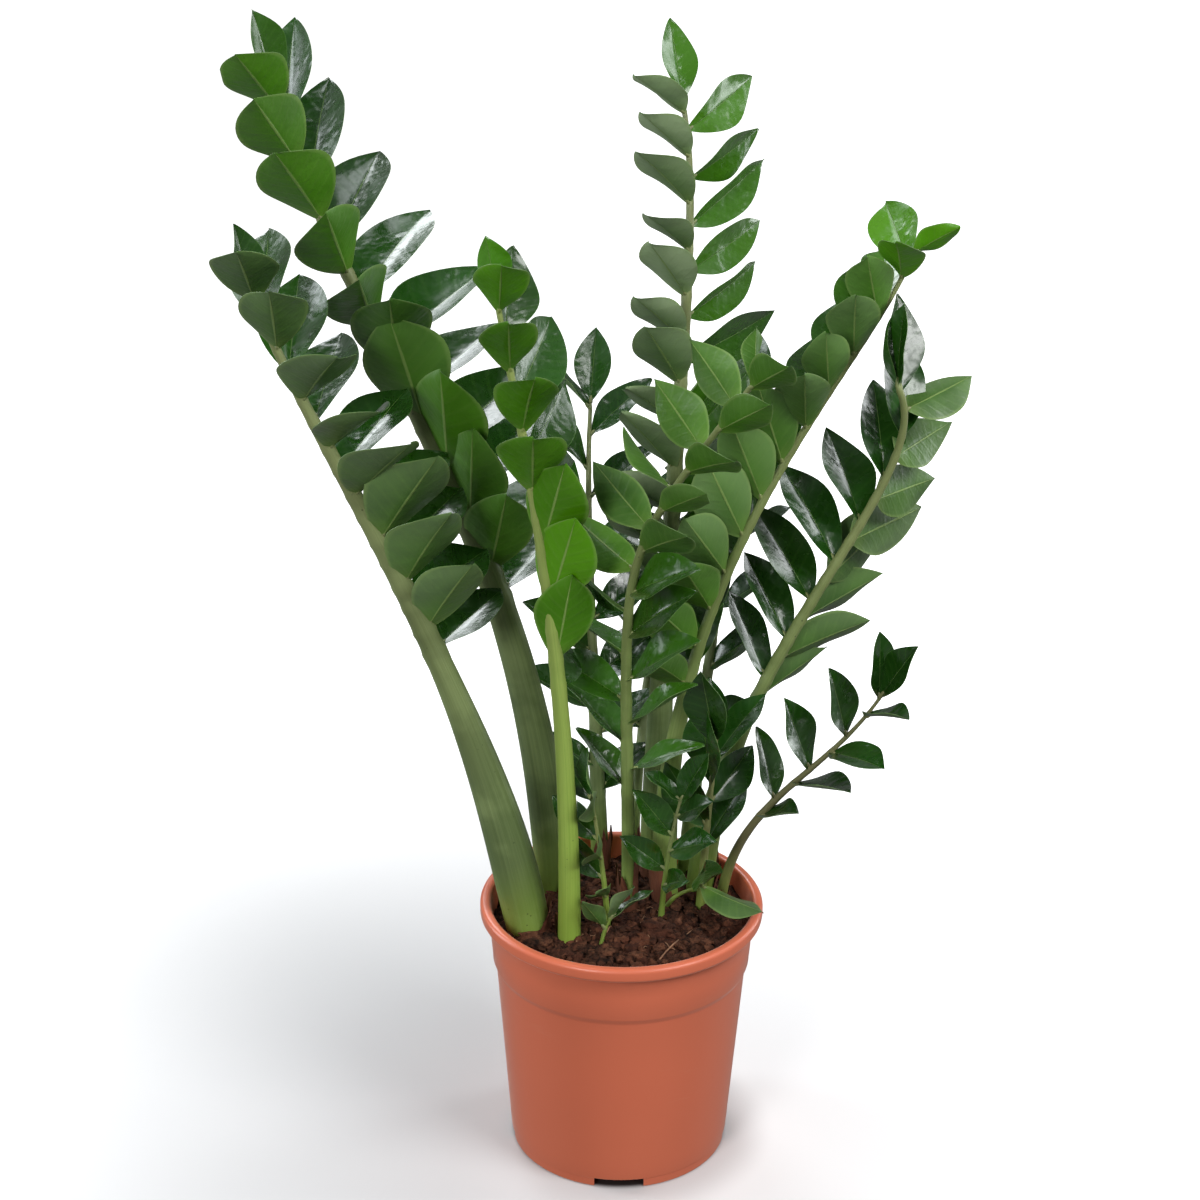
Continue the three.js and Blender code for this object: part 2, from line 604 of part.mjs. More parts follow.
// ---- Leaf and frond solids ---------------------------------------------------------------
// The blade has a lens-shaped section: two edges, and a midrib above and below. It starts as an
// upright edge on the stalk's axis and ends in a point. Both faces are split into triangles alike.
function bladeSolid(leaf) {
  const half = LEAF_THICKNESS / 2;
  const corner = (t, b, thickness) => bladePoint(leaf, t, b).addScaledVector(leaf.normal, thickness);
  const corners = [corner(0, 0, half), corner(0, 0, -half)];
  for (const t of LEAF_STATIONS) {
    corners.push(corner(t, -1, 0), corner(t, 0, half), corner(t, 1, 0), corner(t, 0, -half));
  }
  const tip = corners.push(corner(1, 0, 0)) - 1;
  const faces = [0, 2, 3, 0, 1, 2, 1, 5, 2, 0, 3, 4, 0, 4, 1, 1, 4, 5];
  let left = 2;
  for (; left + 4 < tip; left += 4) {
    const [top, right, bottom] = [left + 1, left + 2, left + 3];
    faces.push(left, left + 4, top + 4, left, top + 4, top);
    faces.push(left, bottom + 4, left + 4, left, bottom, bottom + 4);
    faces.push(right, top + 4, right + 4, right, top, top + 4);
    faces.push(right, right + 4, bottom + 4, right, bottom + 4, bottom);
  }
  faces.push(left, tip, left + 1, left + 1, tip, left + 2);
  faces.push(left + 2, tip, left + 3, left + 3, tip, left);
  const geometry = new THREE.BufferGeometry().setFromPoints(corners);
  geometry.setIndex(faces);
  return solidFrom(geometry);
}

function frondMesh(frond, leaves) {
  const own = leaves.filter((leaf) => leaf.frond === frond);
  const solid = own.reduce((body, leaf) => body.add(bladeSolid(leaf)), stalkSolid(frond, 0));
  return namedMesh(frond.name, solid, foliageMaterial());
}

// ---- The whole plant ---------------------------------------------------------------------
const fronds = FRONDS.map((row) => ({ ...row, curve: stalkCurve(row) }));
for (const frond of fronds) {
  const steps = Array.from({ length: AXIS_STEPS + 1 }, (_, i) => i / AXIS_STEPS);
  frond.axis = steps.map((share) => ({
    point: frond.curve.getPointAt(share),
    radius: stalkRadius(frond, share),
  }));
}
const leaves = growLeaves(fronds);
const stalkHoles = fronds.map((frond) => stalkSolid(frond, HOLE_CLEARANCE));

const pottedPlant = new THREE.Group();
pottedPlant.add(namedMesh('pot', potSolid(), potMaterial()));
pottedPlant.add(namedMesh('soil', soilSolid(stalkHoles), soilMaterial()));
for (const frond of fronds) {
  pottedPlant.add(frondMesh(frond, leaves));
}

export default pottedPlant;
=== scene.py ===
"""Potted ZZ plant: glossy fronds, soil and a terracotta-coloured pot over the CAD frame.

Metres, +Z up, origin in the middle of the pot's foot, -Y towards the viewer. Tables that repeat
the plant's growth are in millimetres and go through MM.
"""
from itertools import product
import math

import bmesh
import bpy
import numpy as np
from mathutils import Euler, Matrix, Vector, noise


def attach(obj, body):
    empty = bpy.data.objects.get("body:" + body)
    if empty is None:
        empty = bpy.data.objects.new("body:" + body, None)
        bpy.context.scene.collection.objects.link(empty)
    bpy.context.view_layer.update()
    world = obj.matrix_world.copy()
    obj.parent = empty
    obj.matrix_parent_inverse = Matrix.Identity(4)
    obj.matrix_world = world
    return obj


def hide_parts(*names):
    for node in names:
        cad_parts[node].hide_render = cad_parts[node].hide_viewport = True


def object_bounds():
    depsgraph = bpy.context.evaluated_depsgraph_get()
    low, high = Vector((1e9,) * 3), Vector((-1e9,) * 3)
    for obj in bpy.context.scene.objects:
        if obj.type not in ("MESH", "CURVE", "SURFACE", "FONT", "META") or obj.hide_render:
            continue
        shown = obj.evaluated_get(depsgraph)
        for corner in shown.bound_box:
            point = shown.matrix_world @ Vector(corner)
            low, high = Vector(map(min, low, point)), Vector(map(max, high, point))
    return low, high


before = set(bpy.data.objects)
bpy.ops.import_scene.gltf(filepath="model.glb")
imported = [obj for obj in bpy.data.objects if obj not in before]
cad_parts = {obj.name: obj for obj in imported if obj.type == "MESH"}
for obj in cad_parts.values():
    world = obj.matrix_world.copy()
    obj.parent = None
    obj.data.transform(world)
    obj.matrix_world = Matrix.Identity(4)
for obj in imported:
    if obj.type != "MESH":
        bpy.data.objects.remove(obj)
CAD_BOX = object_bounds()
MM = 0.001

# ---- Growth: the same rule and numbers as the solids
LEAF_FOLD = 20
LEAF_CURL = 0.07
LEAF_GAP = 5 * MM
OWN_LEAF_GAP = 0.8 * MM
LAST_LEAF_AT = 0.985
POT_HEIGHT = 230 * MM
MOUTH_RADIUS = 111 * MM
POSE_SHARES = (0, 0.5, 1)
RANK_OFFSET = 0.45
CROWDING = 0.97
SIZE_SHARES = (0, 0.35, 1)
SIZES = (0.78, 1, 0.8)
POSE_JITTER = 6
ROLL_JITTER = 13
LENGTH_JITTER = 0.06
WIDTH_JITTER = 0.04
FOLD_JITTER = 5
CURL_JITTER = 0.06
TIP_SINK = 2 * MM
TIP_ANGLE_JITTER = 4
TIP_ROLL_JITTER = 8
RANKS = {1: "far", -1: "near"}
ROOT_SHARE = 0.12
BELLY_TAPER = 0.93
# A leaf hangs this far above the rim, or this far inside it and no lower than this below it.
OVER_RIM = 6 * MM
INSIDE_RIM = 11 * MM
BELOW_RIM = 6 * MM
# The changes that a leaf may take to clear its neighbours: its scale, and the rest in degrees.
SCALES = (1, 0.88, 0.76, 0.62)
ANGLE_CHANGES = (0, -10, 10, -20, 18)
ROLL_CHANGES = (0, -20, 20, -40, 40)
LIFT_CHANGES = (0, -7, 7, -14, 14)

# Route, radii and leaf length in millimetres; wide is a leaf's width as a share of its length. far
# and near are the two ranks of leaves: the lowest, middle and topmost leaf's angle from the stalk,
# lift out of the frond's plane, and roll. With no near, it is the same as far. tip is the end leaf:
# share of the leaf length, angle, lift and roll. For the fronds that the photograph shows, routes
# and poses were fitted to places and directions read off it.
FRONDS = [
    dict(name="frond_left_low", seed=11, pairs=8, leaf=117, wide=0.55, start=0.5, facing=-5,
         route=[(-70, -17, 150), (-106, -22, 447), (-230, -45, 616), (-281, -70, 779)],
         radii=(15, 20, 10.5, 2.2), tip=(0.47, 7, 89, 31),
         far=((91, 90, 59), (30, 24, -10), (71, 66, 98)),
         near=((48, 64, 40), (73, 64, 23), (104, 96, 78))),
    dict(name="frond_left_tall", seed=12, pairs=10, leaf=130, wide=0.55, start=0.43, facing=-12,
         route=[(-57, 51, 150), (-56, 55, 531), (-219, 70, 681), (-278, 90, 891)],
         radii=(12, 17, 11.5, 2.2), tip=(0.57, 22, 146, -23),
         far=((76, 83, 32), (35, 39, 4), (86, 68, 106)),
         near=((34, 57, 51), (47, 25, 14), (108, 104, 109))),
    dict(name="frond_front", seed=13, pairs=7, leaf=100, wide=0.56, start=0.48, facing=-10,
         route=[(-45, -38, 150), (-35, -42, 459), (-83, -55, 665), (-99, -60, 770)],
         radii=(10.5, 9.5, 6.5, 2), tip=(0.53, 5, -213, -39),
         far=((81, 86, 47), (-3, 16, 11), (38, 20, 27)),
         near=((16, 33, 39), (74, 36, 20), (91, 88, 97))),
    dict(name="frond_centre_back", seed=14, pairs=12, leaf=106, wide=0.43, start=0.42, facing=-60,
         route=[(28, 68, 150), (31, 88, 607), (64, 115, 786), (42, 150, 878)],
         radii=(11, 13, 8, 1.8), tip=(0.7, 13, -38, 0),
         far=((52, 63, 62), (15, -13, -7), (-22, -14, -29)),
         near=((51, 57, 63), (9, 29, 27), (109, 133, 90))),
    dict(name="frond_right", seed=17, pairs=8, leaf=98, wide=0.5, start=0.45, facing=198,
         route=[(70, 47, 150), (45, 45, 416), (264, 30, 596), (210, 10, 685)],
         radii=(11, 12, 5.4, 2.6), tip=(0.67, 22, -95, 38),
         far=((39, 71, 98), (-102, -124, -126), (-66, -55, -52)),
         near=((52, 67, 38), (37, 28, -30), (101, 81, 112))),
    dict(name="frond_right_arch", seed=16, pairs=12, leaf=92, wide=0.52, start=0.4, facing=195,
         route=[(46, 20, 150), (-11, 20, 505), (201, 50, 690), (223, 60, 779)],
         radii=(10, 11, 4.6, 1.8), tip=(0.51, 41, -39, 91),
         far=((59, 53, 57), (70, 69, 36), (69, 82, 88)),
         near=((30, 59, 57), (-21, 1, 6), (22, 30, 40))),
    dict(name="frond_middle", seed=15, pairs=10, leaf=88, wide=0.48, start=0.3, facing=130,
         route=[(7, 1, 150), (5, -10, 574), (-29, -60, 531), (92, -120, 730)],
         radii=(7, 6.2, 4.6, 1.8), tip=(0.48, 39, 52, -8),
         far=((49, 102, 94), (82, 87, 96), (161, 149, 179)),
         near=((65, 31, 32), (-37, -90, -120), (62, 54, 49))),
    dict(name="frond_low_right", seed=18, pairs=4, leaf=76, wide=0.5, start=0.5, facing=198,
         route=[(86, 22, 150), (70, 20, 314), (157, -15, 336), (207, -35, 438)],
         radii=(5, 5, 3.5, 1.3), tip=(0.81, 8, -141, -3),
         far=((36, 39, 42), (15, 14, 13), (51, 58, 66)),
         near=((59, 53, 34), (27, 63, 46), (99, 92, 98))),
    dict(name="frond_short_right", seed=19, pairs=3, leaf=84, wide=0.5, start=0.55, facing=-80,
         route=[(66, 8, 150), (68, 4, 280), (74, 0, 330), (76, -8, 385)],
         radii=(5, 5, 3.5, 1.5), tip=(0.62, 15, -112, 32),
         far=((41, 69, 70), (-36, -47, -37), (65, 63, 60)),
         near=((36, 30, 21), (-15, 8, 3), (-31, -21, -28))),
    dict(name="frond_back_left", seed=20, pairs=7, leaf=84, wide=0.48, start=0.28, facing=-80,
         route=[(-16, 82, 150), (-24, 95, 400), (-35, 140, 520), (-30, 190, 610)],
         radii=(8, 8, 5, 1.6), tip=(0.8, 0, 20, 20),
         far=((60, 52.5, 45), (30, 22.5, 15), (55, 55, 55))),
    dict(name="frond_back_right", seed=21, pairs=6, leaf=84, wide=0.48, start=0.4, facing=-110,
         route=[(54, 71, 150), (66, 96, 400), (95, 170, 520), (110, 230, 600)],
         radii=(8, 8, 5, 1.6), tip=(0.8, 0, 20, -20),
         far=((60, 52.5, 45), (30, 22.5, 15), (55, 55, 55))),
    dict(name="frond_back_low", seed=22, pairs=4, leaf=74, wide=0.48, start=0.4, facing=-90,
         route=[(6, 79, 150), (14, 104, 340), (30, 190, 440), (42, 260, 480)],
         radii=(6, 6, 4, 1.4), tip=(0.8, 0, 20, 0),
         far=((60, 52.5, 45), (30, 22.5, 15), (55, 55, 55))),
    dict(name="sprout_rim", seed=23, pairs=1, leaf=74, wide=0.5, start=0.75, facing=-40,
         route=[(31, 4, 180), (34, 1, 236), (50, -6, 236), (68, -12, 249)],
         radii=(3.2, 3, 2.2, 1.2), tip=(0.91, 41, 76, 48),
         far=((72, 80, 66), (-6, -14, -10), (-63, -82, -62)),
         near=((60, 52.5, 45), (0, 0, 0), (30, 30, 30))),
    dict(name="sprout_front", seed=24, pairs=1, leaf=52, wide=0.48, start=0.8, facing=120,
         route=[(-19, -48, 180), (-18, -50, 215), (-15, -50, 228), (-9, -52, 240)],
         radii=(3, 3, 2.2, 1.2), tip=(0.8, 0, 20, 0),
         far=((50, 47.5, 45), (10, 10, 10), (40, 40, 40))),
    dict(name="sprout_middle", seed=25, pairs=3, leaf=62, wide=0.48, start=0.4, facing=200,
         route=[(-10, -20, 180), (-12, -24, 250), (-20, -28, 300), (-26, -30, 340)],
         radii=(3, 3, 2.2, 1.2), tip=(0.9, 10, 20, 30),
         far=((50, 45, 40), (40, 35, 30), (60, 60, 60))),
    dict(name="sprout_right", seed=26, pairs=3, leaf=60, wide=0.48, start=0.45, facing=-120,
         route=[(33, -10, 180), (33, -14, 250), (40, -18, 300), (48, -20, 335)],
         radii=(3.2, 3, 2.2, 1.2), tip=(0.9, 10, 20, 30),
         far=((50, 45, 40), (30, 25, 20), (50, 50, 50))),
]

# How a frond looks: its stalk's hue, from 0, plain green, by 1, pale yellow-green, to 2, olive; how
# young and bright its leaves are and how pale their under faces are, partly painted sheen where a rank
# is lit, on its far and near rank; and how much younger still its topmost leaves are.
FROND_LOOKS = {
    "frond_left_low": (0, (0.08, 0.1), (0.1, 0.22), 0),
    "frond_left_tall": (0, (0.05, 0.45), (0.1, 0.1), 0),
    "frond_front": (1, (0.12, 0.9), (0.1, 0), 0),
    "frond_centre_back": (0, (0.4, 0.1), (0.1, 1), 0.2),
    "frond_right": (0.3, (0.1, 0.05), (0.2, 0.7), 0),
    "frond_right_arch": (0.4, (0.5, 0.2), (0.35, 0.15), 0.7),
    "frond_middle": (0.35, (0.25, 0.25), (0.1, 0.1), 0),
    "frond_low_right": (2, (0.03, 0.08), (0.3, 0.3), 0),
    "frond_short_right": (1.7, (0.03, 0.08), (0.25, 0.25), 0),
    "sprout_rim": (1.5, (0.03, 0.08), (0.25, 0.25), 0),
    "sprout_middle": (1.5, (0.03, 0.08), (0.25, 0.25), 0),
}
OTHER_LOOK = (0, (0.03, 0.08), (0.25, 0.25), 0)


def seeded_random(seed):
    """A small seeded generator, so that every run grows the same plant."""
    state = seed & 0xFFFFFFFF

    def draw():
        nonlocal state
        state = (state + 0x6D2B79F5) & 0xFFFFFFFF
        t = ((state ^ (state >> 15)) * (state | 1)) & 0xFFFFFFFF
        t ^= (t + (((t ^ (t >> 7)) * (t | 61)) & 0xFFFFFFFF)) & 0xFFFFFFFF
        return ((t ^ (t >> 14)) & 0xFFFFFFFF) / 4294967296

    return draw


def unit(vector):
    """The vector at a length of 1."""
    return vector / np.linalg.norm(vector)


def outline(t):
    """Half the blade's outline: a wedge at the root, widest past the middle, bluntly pointed."""
    return np.maximum(np.sin(np.pi * t ** 1.05), 0) ** (0.8 + 0.15 * t)


class Stalk:
    """A frond's stalk: a Bezier route, read by the share of its length."""

    RADIUS_STATIONS = (0, 0.13, 0.22, 0.45, 1)
    SLOPE_STEP = 0.0001
    ROUTE_POINTS = 201
    AXIS_POINTS = 81

    def __init__(self, row):
        self.name = row["name"]
        self.row = row
        looks = FROND_LOOKS.get(self.name, OTHER_LOOK)
        self.hue, self.fresh, self.pale, self.young_end = looks
        self.route = np.array(row["route"], float) * MM
        foot, belly, middle, tip = np.array(row["radii"]) * MM
        self.radii = (foot, belly, BELLY_TAPER * belly, middle, tip)
        self.steps = np.linspace(0, 1, self.ROUTE_POINTS)
        pieces = np.diff(self.bezier(self.steps), axis=0)
        self.reach = np.concatenate([[0], np.cumsum(np.linalg.norm(pieces, axis=1))])
        self.shares = np.linspace(0, 1, self.AXIS_POINTS)
        self.axis = self.points(self.shares)
        self.axis_radius = self.radius(self.shares)

    def bezier(self, t):
        t = np.asarray(t, float)[..., None]
        a, b, c, d = self.route
        return (1 - t) ** 3 * a + 3 * (1 - t) ** 2 * t * b + 3 * (1 - t) * t * t * c + t ** 3 * d

    def step_at(self, share):
        return np.interp(np.asarray(share) * self.reach[-1], self.reach, self.steps)

    def points(self, share):
        return self.bezier(self.step_at(share))

    def radius(self, share):
        return np.interp(share, self.RADIUS_STATIONS, self.radii)

    def frame(self, share):
        """The axis point, and the directions along the stalk, out of its face and sideways."""
        t = float(self.step_at(share))
        before, after = max(t - self.SLOPE_STEP, 0), min(t + self.SLOPE_STEP, 1)
        along = unit(self.bezier(after) - self.bezier(before))
        facing = math.radians(self.row["facing"])
        out = np.array([math.cos(facing), math.sin(facing), 0])
        out = unit(out - out.dot(along) * along)
        return self.points(share), along, out, np.cross(along, out)


def blade_normal(direction, along, out, roll):
    """Which way a blade faces: out of the frond, rolled towards the stalk's tip."""
    base = unit(out - out.dot(direction) * direction)
    turned = np.cross(direction, base)
    if turned.dot(along) < 0:
        turned = -turned
    return unit(base * math.cos(roll) + turned * math.sin(roll))


class Leaf:
    """One leaf as a placed blade; change is (scale, angle, roll, lift) on top of its own."""

    GRID_T = np.repeat(ROOT_SHARE + (1 - ROOT_SHARE) * np.arange(10) / 9, 5)
    GRID_B = np.tile([-1, -0.5, 0, 0.5, 1], 10)

    def __init__(self, seed, change):
        scale, angle, roll, lift = change
        self.__dict__.update(seed)
        _, along, out, side = self.frame
        angle = self.angle + math.radians(angle)
        lift = self.lift + math.radians(lift)
        sideways = math.sin(angle) * math.cos(lift) * self.rank
        self.direction = unit(
            math.cos(angle) * along + sideways * side + math.sin(angle) * math.sin(lift) * out)
        roll = self.roll + math.radians(roll)
        self.normal = blade_normal(self.direction, along, out, roll)
        self.across = np.cross(self.normal, self.direction)
        self.length *= scale
        self.width *= scale
        self.middle = self.base + self.direction * self.length / 2
        self.points = self.surface(self.GRID_T, self.GRID_B)

    def height(self, t, sideways):
        """How far the blade rises from its base plane, by its fold and its curl."""
        return np.abs(sideways) * math.tan(self.fold) - self.curl * self.length * t * t

    def surface(self, t, b):
        sideways = b * outline(t) * self.width / 2
        rise = self.height(t, sideways)
        return (self.base + np.outer(t * self.length, self.direction)
                + np.outer(sideways, self.across) + np.outer(rise, self.normal))

    def gap_to(self, points):
        """The shortest way from any of the points to the blade."""
        offset = points - self.base
        along = offset @ self.direction
        sideways = offset @ self.across
        t = np.clip(along / self.length, 0, 1)
        half = self.width / 2 * outline(t)
        inside = np.clip(sideways, -half, half)
        height = offset @ self.normal - self.height(t, inside)
        squares = (along - t * self.length) ** 2 + (sideways - inside) ** 2 + height ** 2
        return math.sqrt(squares.min())

    def clear_of_leaf(self, other):
        gap = OWN_LEAF_GAP if other.stalk is self.stalk else LEAF_GAP
        reach = (other.length + self.length) / 2 + gap
        if np.linalg.norm(other.middle - self.middle) > reach:
            return True
        return other.gap_to(self.points) >= gap and self.gap_to(other.points) >= gap

    def clear_of_stalk(self, stalk):
        if stalk is self.stalk:
            return True
        reach = self.length / 2 + stalk.axis_radius + LEAF_GAP
        near = np.linalg.norm(stalk.axis - self.middle, axis=1) <= reach
        if not near.any():
            return True
        gaps = np.linalg.norm(self.points[:, None] - stalk.axis[None, near], axis=2)
        return (gaps - stalk.axis_radius[near]).min() >= LEAF_GAP

    def clear_of_pot(self):
        lowest = self.points[:, 2].min()
        widest = np.hypot(self.points[:, 0], self.points[:, 1]).max()
        inside = widest <= MOUTH_RADIUS - INSIDE_RIM and lowest >= POT_HEIGHT - BELOW_RIM
        return inside or lowest >= POT_HEIGHT + OVER_RIM


def leaf_seeds(stalk):
    """What each leaf of a frond starts from, before it is moved clear of other fronds."""
    row = stalk.row
    random = seeded_random(row["seed"])

    def jitter(amount):
        return (2 * random() - 1) * amount

    seeds = []
    for i in range(row["pairs"]):
        for rank in (1, -1):
            place = i + (0 if rank == 1 else RANK_OFFSET)
            share = min(place / (row["pairs"] - 1 + RANK_OFFSET), 1)
            climb = (1 - (1 - share) ** CROWDING) * LAST_LEAF_AT
            at = min(row["start"] + (1 - row["start"]) * climb, LAST_LEAF_AT)
            placed = stalk.frame(at)
            poses = row.get(RANKS[rank], row["far"])
            angle, lift, roll = (np.interp(share, POSE_SHARES, pose) for pose in poses)
            angle = math.radians(angle + jitter(POSE_JITTER))
            lift = math.radians(lift + jitter(POSE_JITTER))
            roll = math.radians(roll + jitter(ROLL_JITTER))
            size = np.interp(share, SIZE_SHARES, SIZES)
            length = row["leaf"] * MM * size * (1 + jitter(LENGTH_JITTER))
            seeds.append(dict(
                stalk=stalk, frame=placed, rank=rank, base=placed[0], climb=share, at=at,
                angle=angle, lift=lift, roll=roll, length=length,
                width=length * (row["wide"] + jitter(WIDTH_JITTER)),
                fold=math.radians(LEAF_FOLD + jitter(FOLD_JITTER)),
                curl=LEAF_CURL + jitter(CURL_JITTER)))
    tip_size, tip_lean, tip_lift, tip_roll = row["tip"]
    placed = stalk.frame(1)
    length = row["leaf"] * MM * tip_size
    seeds.append(dict(
        stalk=stalk, frame=placed, rank=1, climb=1.0, at=1.0, base=placed[0] - TIP_SINK * placed[1],
        angle=math.radians(tip_lean + jitter(TIP_ANGLE_JITTER)), lift=math.radians(tip_lift),
        roll=math.radians(tip_roll + jitter(TIP_ROLL_JITTER)), length=length,
        width=length * row["wide"], fold=math.radians(LEAF_FOLD), curl=LEAF_CURL))
    return seeds


def grow_leaves(stalks):
    """Every leaf takes the first change of its pose that clears the rest, or is left out."""
    placed = []
    for stalk in stalks:
        for seed in leaf_seeds(stalk):
            for change in product(SCALES, ANGLE_CHANGES, ROLL_CHANGES, LIFT_CHANGES):
                leaf = Leaf(seed, change)
                if (leaf.clear_of_pot() and all(leaf.clear_of_stalk(s) for s in stalks)
                        and all(leaf.clear_of_leaf(other) for other in placed)):
                    placed.append(leaf)
                    break
    return placed


# ---- Materials
def srgb(red, green, blue):
    """A colour given as it shows on screen, 0 to 255, as Blender's linear values."""
    def linear(value):
        value /= 255
        return value / 12.92 if value <= 0.04045 else ((value + 0.055) / 1.055) ** 2.4
    return linear(red), linear(green), linear(blue), 1.0


class Look:
    """A procedural material, with short calls for the nodes that feed its shader."""

    def __init__(self, name, roughness=0.5, **constants):
        self.material = bpy.data.materials.new(name)
        self.material.use_nodes = True
        self.tree = self.material.node_tree
        self.shader = self.tree.nodes["Principled BSDF"]
        self.shader.inputs["Roughness"].default_value = roughness
        for socket, value in constants.items():
            self.shader.inputs[socket.replace("_", " ")].default_value = value
        self.place = self.node("TexCoord", {})["Object"]

    def feed(self, socket, value):
        if isinstance(value, bpy.types.NodeSocket):
            self.tree.links.new(value, socket)
        else:
            socket.default_value = value

    def node(self, kind, inputs, **settings):
        """The outputs of a new node, whose inputs are values or other nodes' outputs."""
        node = self.tree.nodes.new("ShaderNode" + kind)
        for key, value in settings.items():
            setattr(node, key, value)
        for name, value in inputs.items():
            self.feed(node.inputs[name], value)
        return node.outputs

    def noise(self, scale, detail=3.0, roughness=0.55, stretch=None, place=None):
        place = place or self.place
        if stretch:
            place = self.node("Mapping", {"Vector": place, "Scale": stretch})["Vector"]
        inputs = {"Vector": place, "Scale": scale, "Detail": detail, "Roughness": roughness}
        return self.node("TexNoise", inputs)["Fac"]

    def cells(self, scale):
        return self.node("TexVoronoi", {"Vector": self.place, "Scale": scale})["Distance"]

    def math(self, operation, a, b=0.0):
        return self.node("Math", {0: a, 1: b}, operation=operation)[0]

    def times(self, value, factor):
        return self.math("MULTIPLY", value, factor)

    def plus(self, base, value, weight):
        """The base plus the value times its weight."""
        return self.math("ADD", base, self.times(value, weight))

    def remap(self, value, low, high, to_low=0.0, to_high=1.0):
        inputs = {0: value, 1: low, 2: high, 3: to_low, 4: to_high}
        return self.node("MapRange", inputs, interpolation_type="SMOOTHSTEP")[0]

    def mix(self, factor, a, b):
        return self.node("Mix", {0: factor, 6: a, 7: b}, data_type="RGBA")[2]

    def tint(self, colour, *layers):
        """The colour with others laid over it, each as its mask, its strength and itself."""
        for mask, strength, layer in layers:
            colour = self.mix(self.times(mask, strength), colour, layer)
        return colour

    def bump(self, height, distance):
        return self.node("Bump", {"Height": height, "Distance": distance})["Normal"]

    def tone(self):
        """The three channels of the tone that each vertex carries."""
        colour = self.node("Attribute", {}, attribute_name="tone")["Color"]
        return self.node("SeparateColor", {"Color": colour})

    def uv(self):
        return self.node("UVMap", {})["UV"]

    def blade_places(self):
        """Along the blade from 0 to 1, and away from its midrib from 0 to 1."""
        split = self.node("SeparateXYZ", {"Vector": self.uv()})
        centred = self.math("SUBTRACT", self.times(split["Y"], 2.0), 1.0)
        return split["X"], self.math("ABSOLUTE", centred)

    def finish(self, colour, roughness=None, normal=None):
        self.feed(self.shader.inputs["Base Color"], colour)
        if roughness is not None:
            self.feed(self.shader.inputs["Roughness"], roughness)
        if normal is not None:
            self.feed(self.shader.inputs["Normal"], normal)
        return self.material


def side_veins(look, along, away, count, slant):
    """Lines that leave the midrib at a slant, 1 on a vein and 0 between two."""
    phase = look.plus(look.times(along, count), away, -slant)
    return look.remap(look.math("SINE", look.times(phase, 2 * math.pi)), 0.4, 1.0)


VEIN_COUNT = 9
VEIN_SLANT = 1.6


def leaf_top_look():
    """Dark waxy upper face: a thin pale midrib and a quilted surface that breaks up light."""
    look = Look("leaf_top", roughness=0.3, Specular_IOR_Level=0.45, Coat_Weight=0.6,
                Coat_Roughness=0.13)
    along, away = look.blade_places()
    depth, _, fresh = look.tone()
    clouds = look.noise(34, 4)
    veins = side_veins(look, along, away, VEIN_COUNT, VEIN_SLANT)
    midrib = look.remap(away, 0.01, 0.032, 1.0, 0.0)
    edge = look.remap(away, 0.965, 0.995)
    green = look.mix(look.plus(look.times(depth, 0.5), clouds, 0.5), srgb(6, 34, 5), srgb(28, 80, 14))
    green = look.tint(
        green, (fresh, 0.9, srgb(88, 150, 22)), (veins, 0.05, srgb(96, 140, 60)),
        (midrib, 0.55, srgb(116, 152, 78)), (edge, 0.4, srgb(104, 142, 80)))
    height = look.plus(look.noise(52, 2), look.noise(120, 2, 0.5), 0.1)
    height = look.plus(height, veins, -0.015)
    height = look.plus(height, midrib, -0.2)
    gloss = look.remap(clouds, 0.3, 0.7, 0.2, 0.36)
    return look.finish(green, gloss, look.bump(height, 3.2 * MM))


def leaf_under_look():
    """Satin under face with a raised midrib, paler towards its tip and margin: partly its own paler
    green, partly painted sheen.
    """
    look = Look("leaf_under", roughness=0.48, Specular_IOR_Level=0.35)
    along, away = look.blade_places()
    depth, pale, fresh = look.tone()
    clouds = look.noise(24, 4)
    veins = side_veins(look, along, away, VEIN_COUNT, VEIN_SLANT)
    midrib = look.remap(away, 0.02, 0.05, 1.0, 0.0)
    # Painted highlight: a lighter band along the margin.
    margin = look.remap(away, 0.86, 0.97)
    root = look.remap(along, 0.0, 0.3, 1.0, 0.0)
    patches = look.remap(clouds, 0.35, 0.65)
    green = look.mix(look.plus(look.times(depth, 0.5), patches, 0.5), srgb(20, 60, 5), srgb(68, 110, 26))
    # Painted sheen: the pale tint grows towards the tip and margin, over the under face's own paler
    # green.
    painted_sheen_reach = look.plus(look.times(along, 0.6), away, 0.5)
    painted_sheen_reach = look.remap(painted_sheen_reach, 0.1, 0.85, 0.35, 1.0)
    green = look.tint(
        green, (pale, painted_sheen_reach, srgb(170, 188, 150)), (fresh, 0.95, srgb(84, 148, 8)),
        (veins, 0.06, srgb(126, 156, 84)), (midrib, 0.6, srgb(146, 172, 98)),
        (margin, 0.3, srgb(150, 176, 104)), (root, 0.3, srgb(132, 160, 74)))
    height = look.plus(look.times(veins, 0.12), look.noise(60, 3), 2.2)
    height = look.plus(height, midrib, 0.6)
    gloss = look.remap(clouds, 0.3, 0.7, 0.32, 0.46)
    return look.finish(green, gloss, look.bump(height, 0.6 * MM))


def leaf_edge_look():
    """The thin pale rim between a leaf's two faces."""
    look = Look("leaf_edge", roughness=0.45)
    return look.finish(look.mix(look.noise(90), srgb(96, 132, 72), srgb(126, 158, 96)))


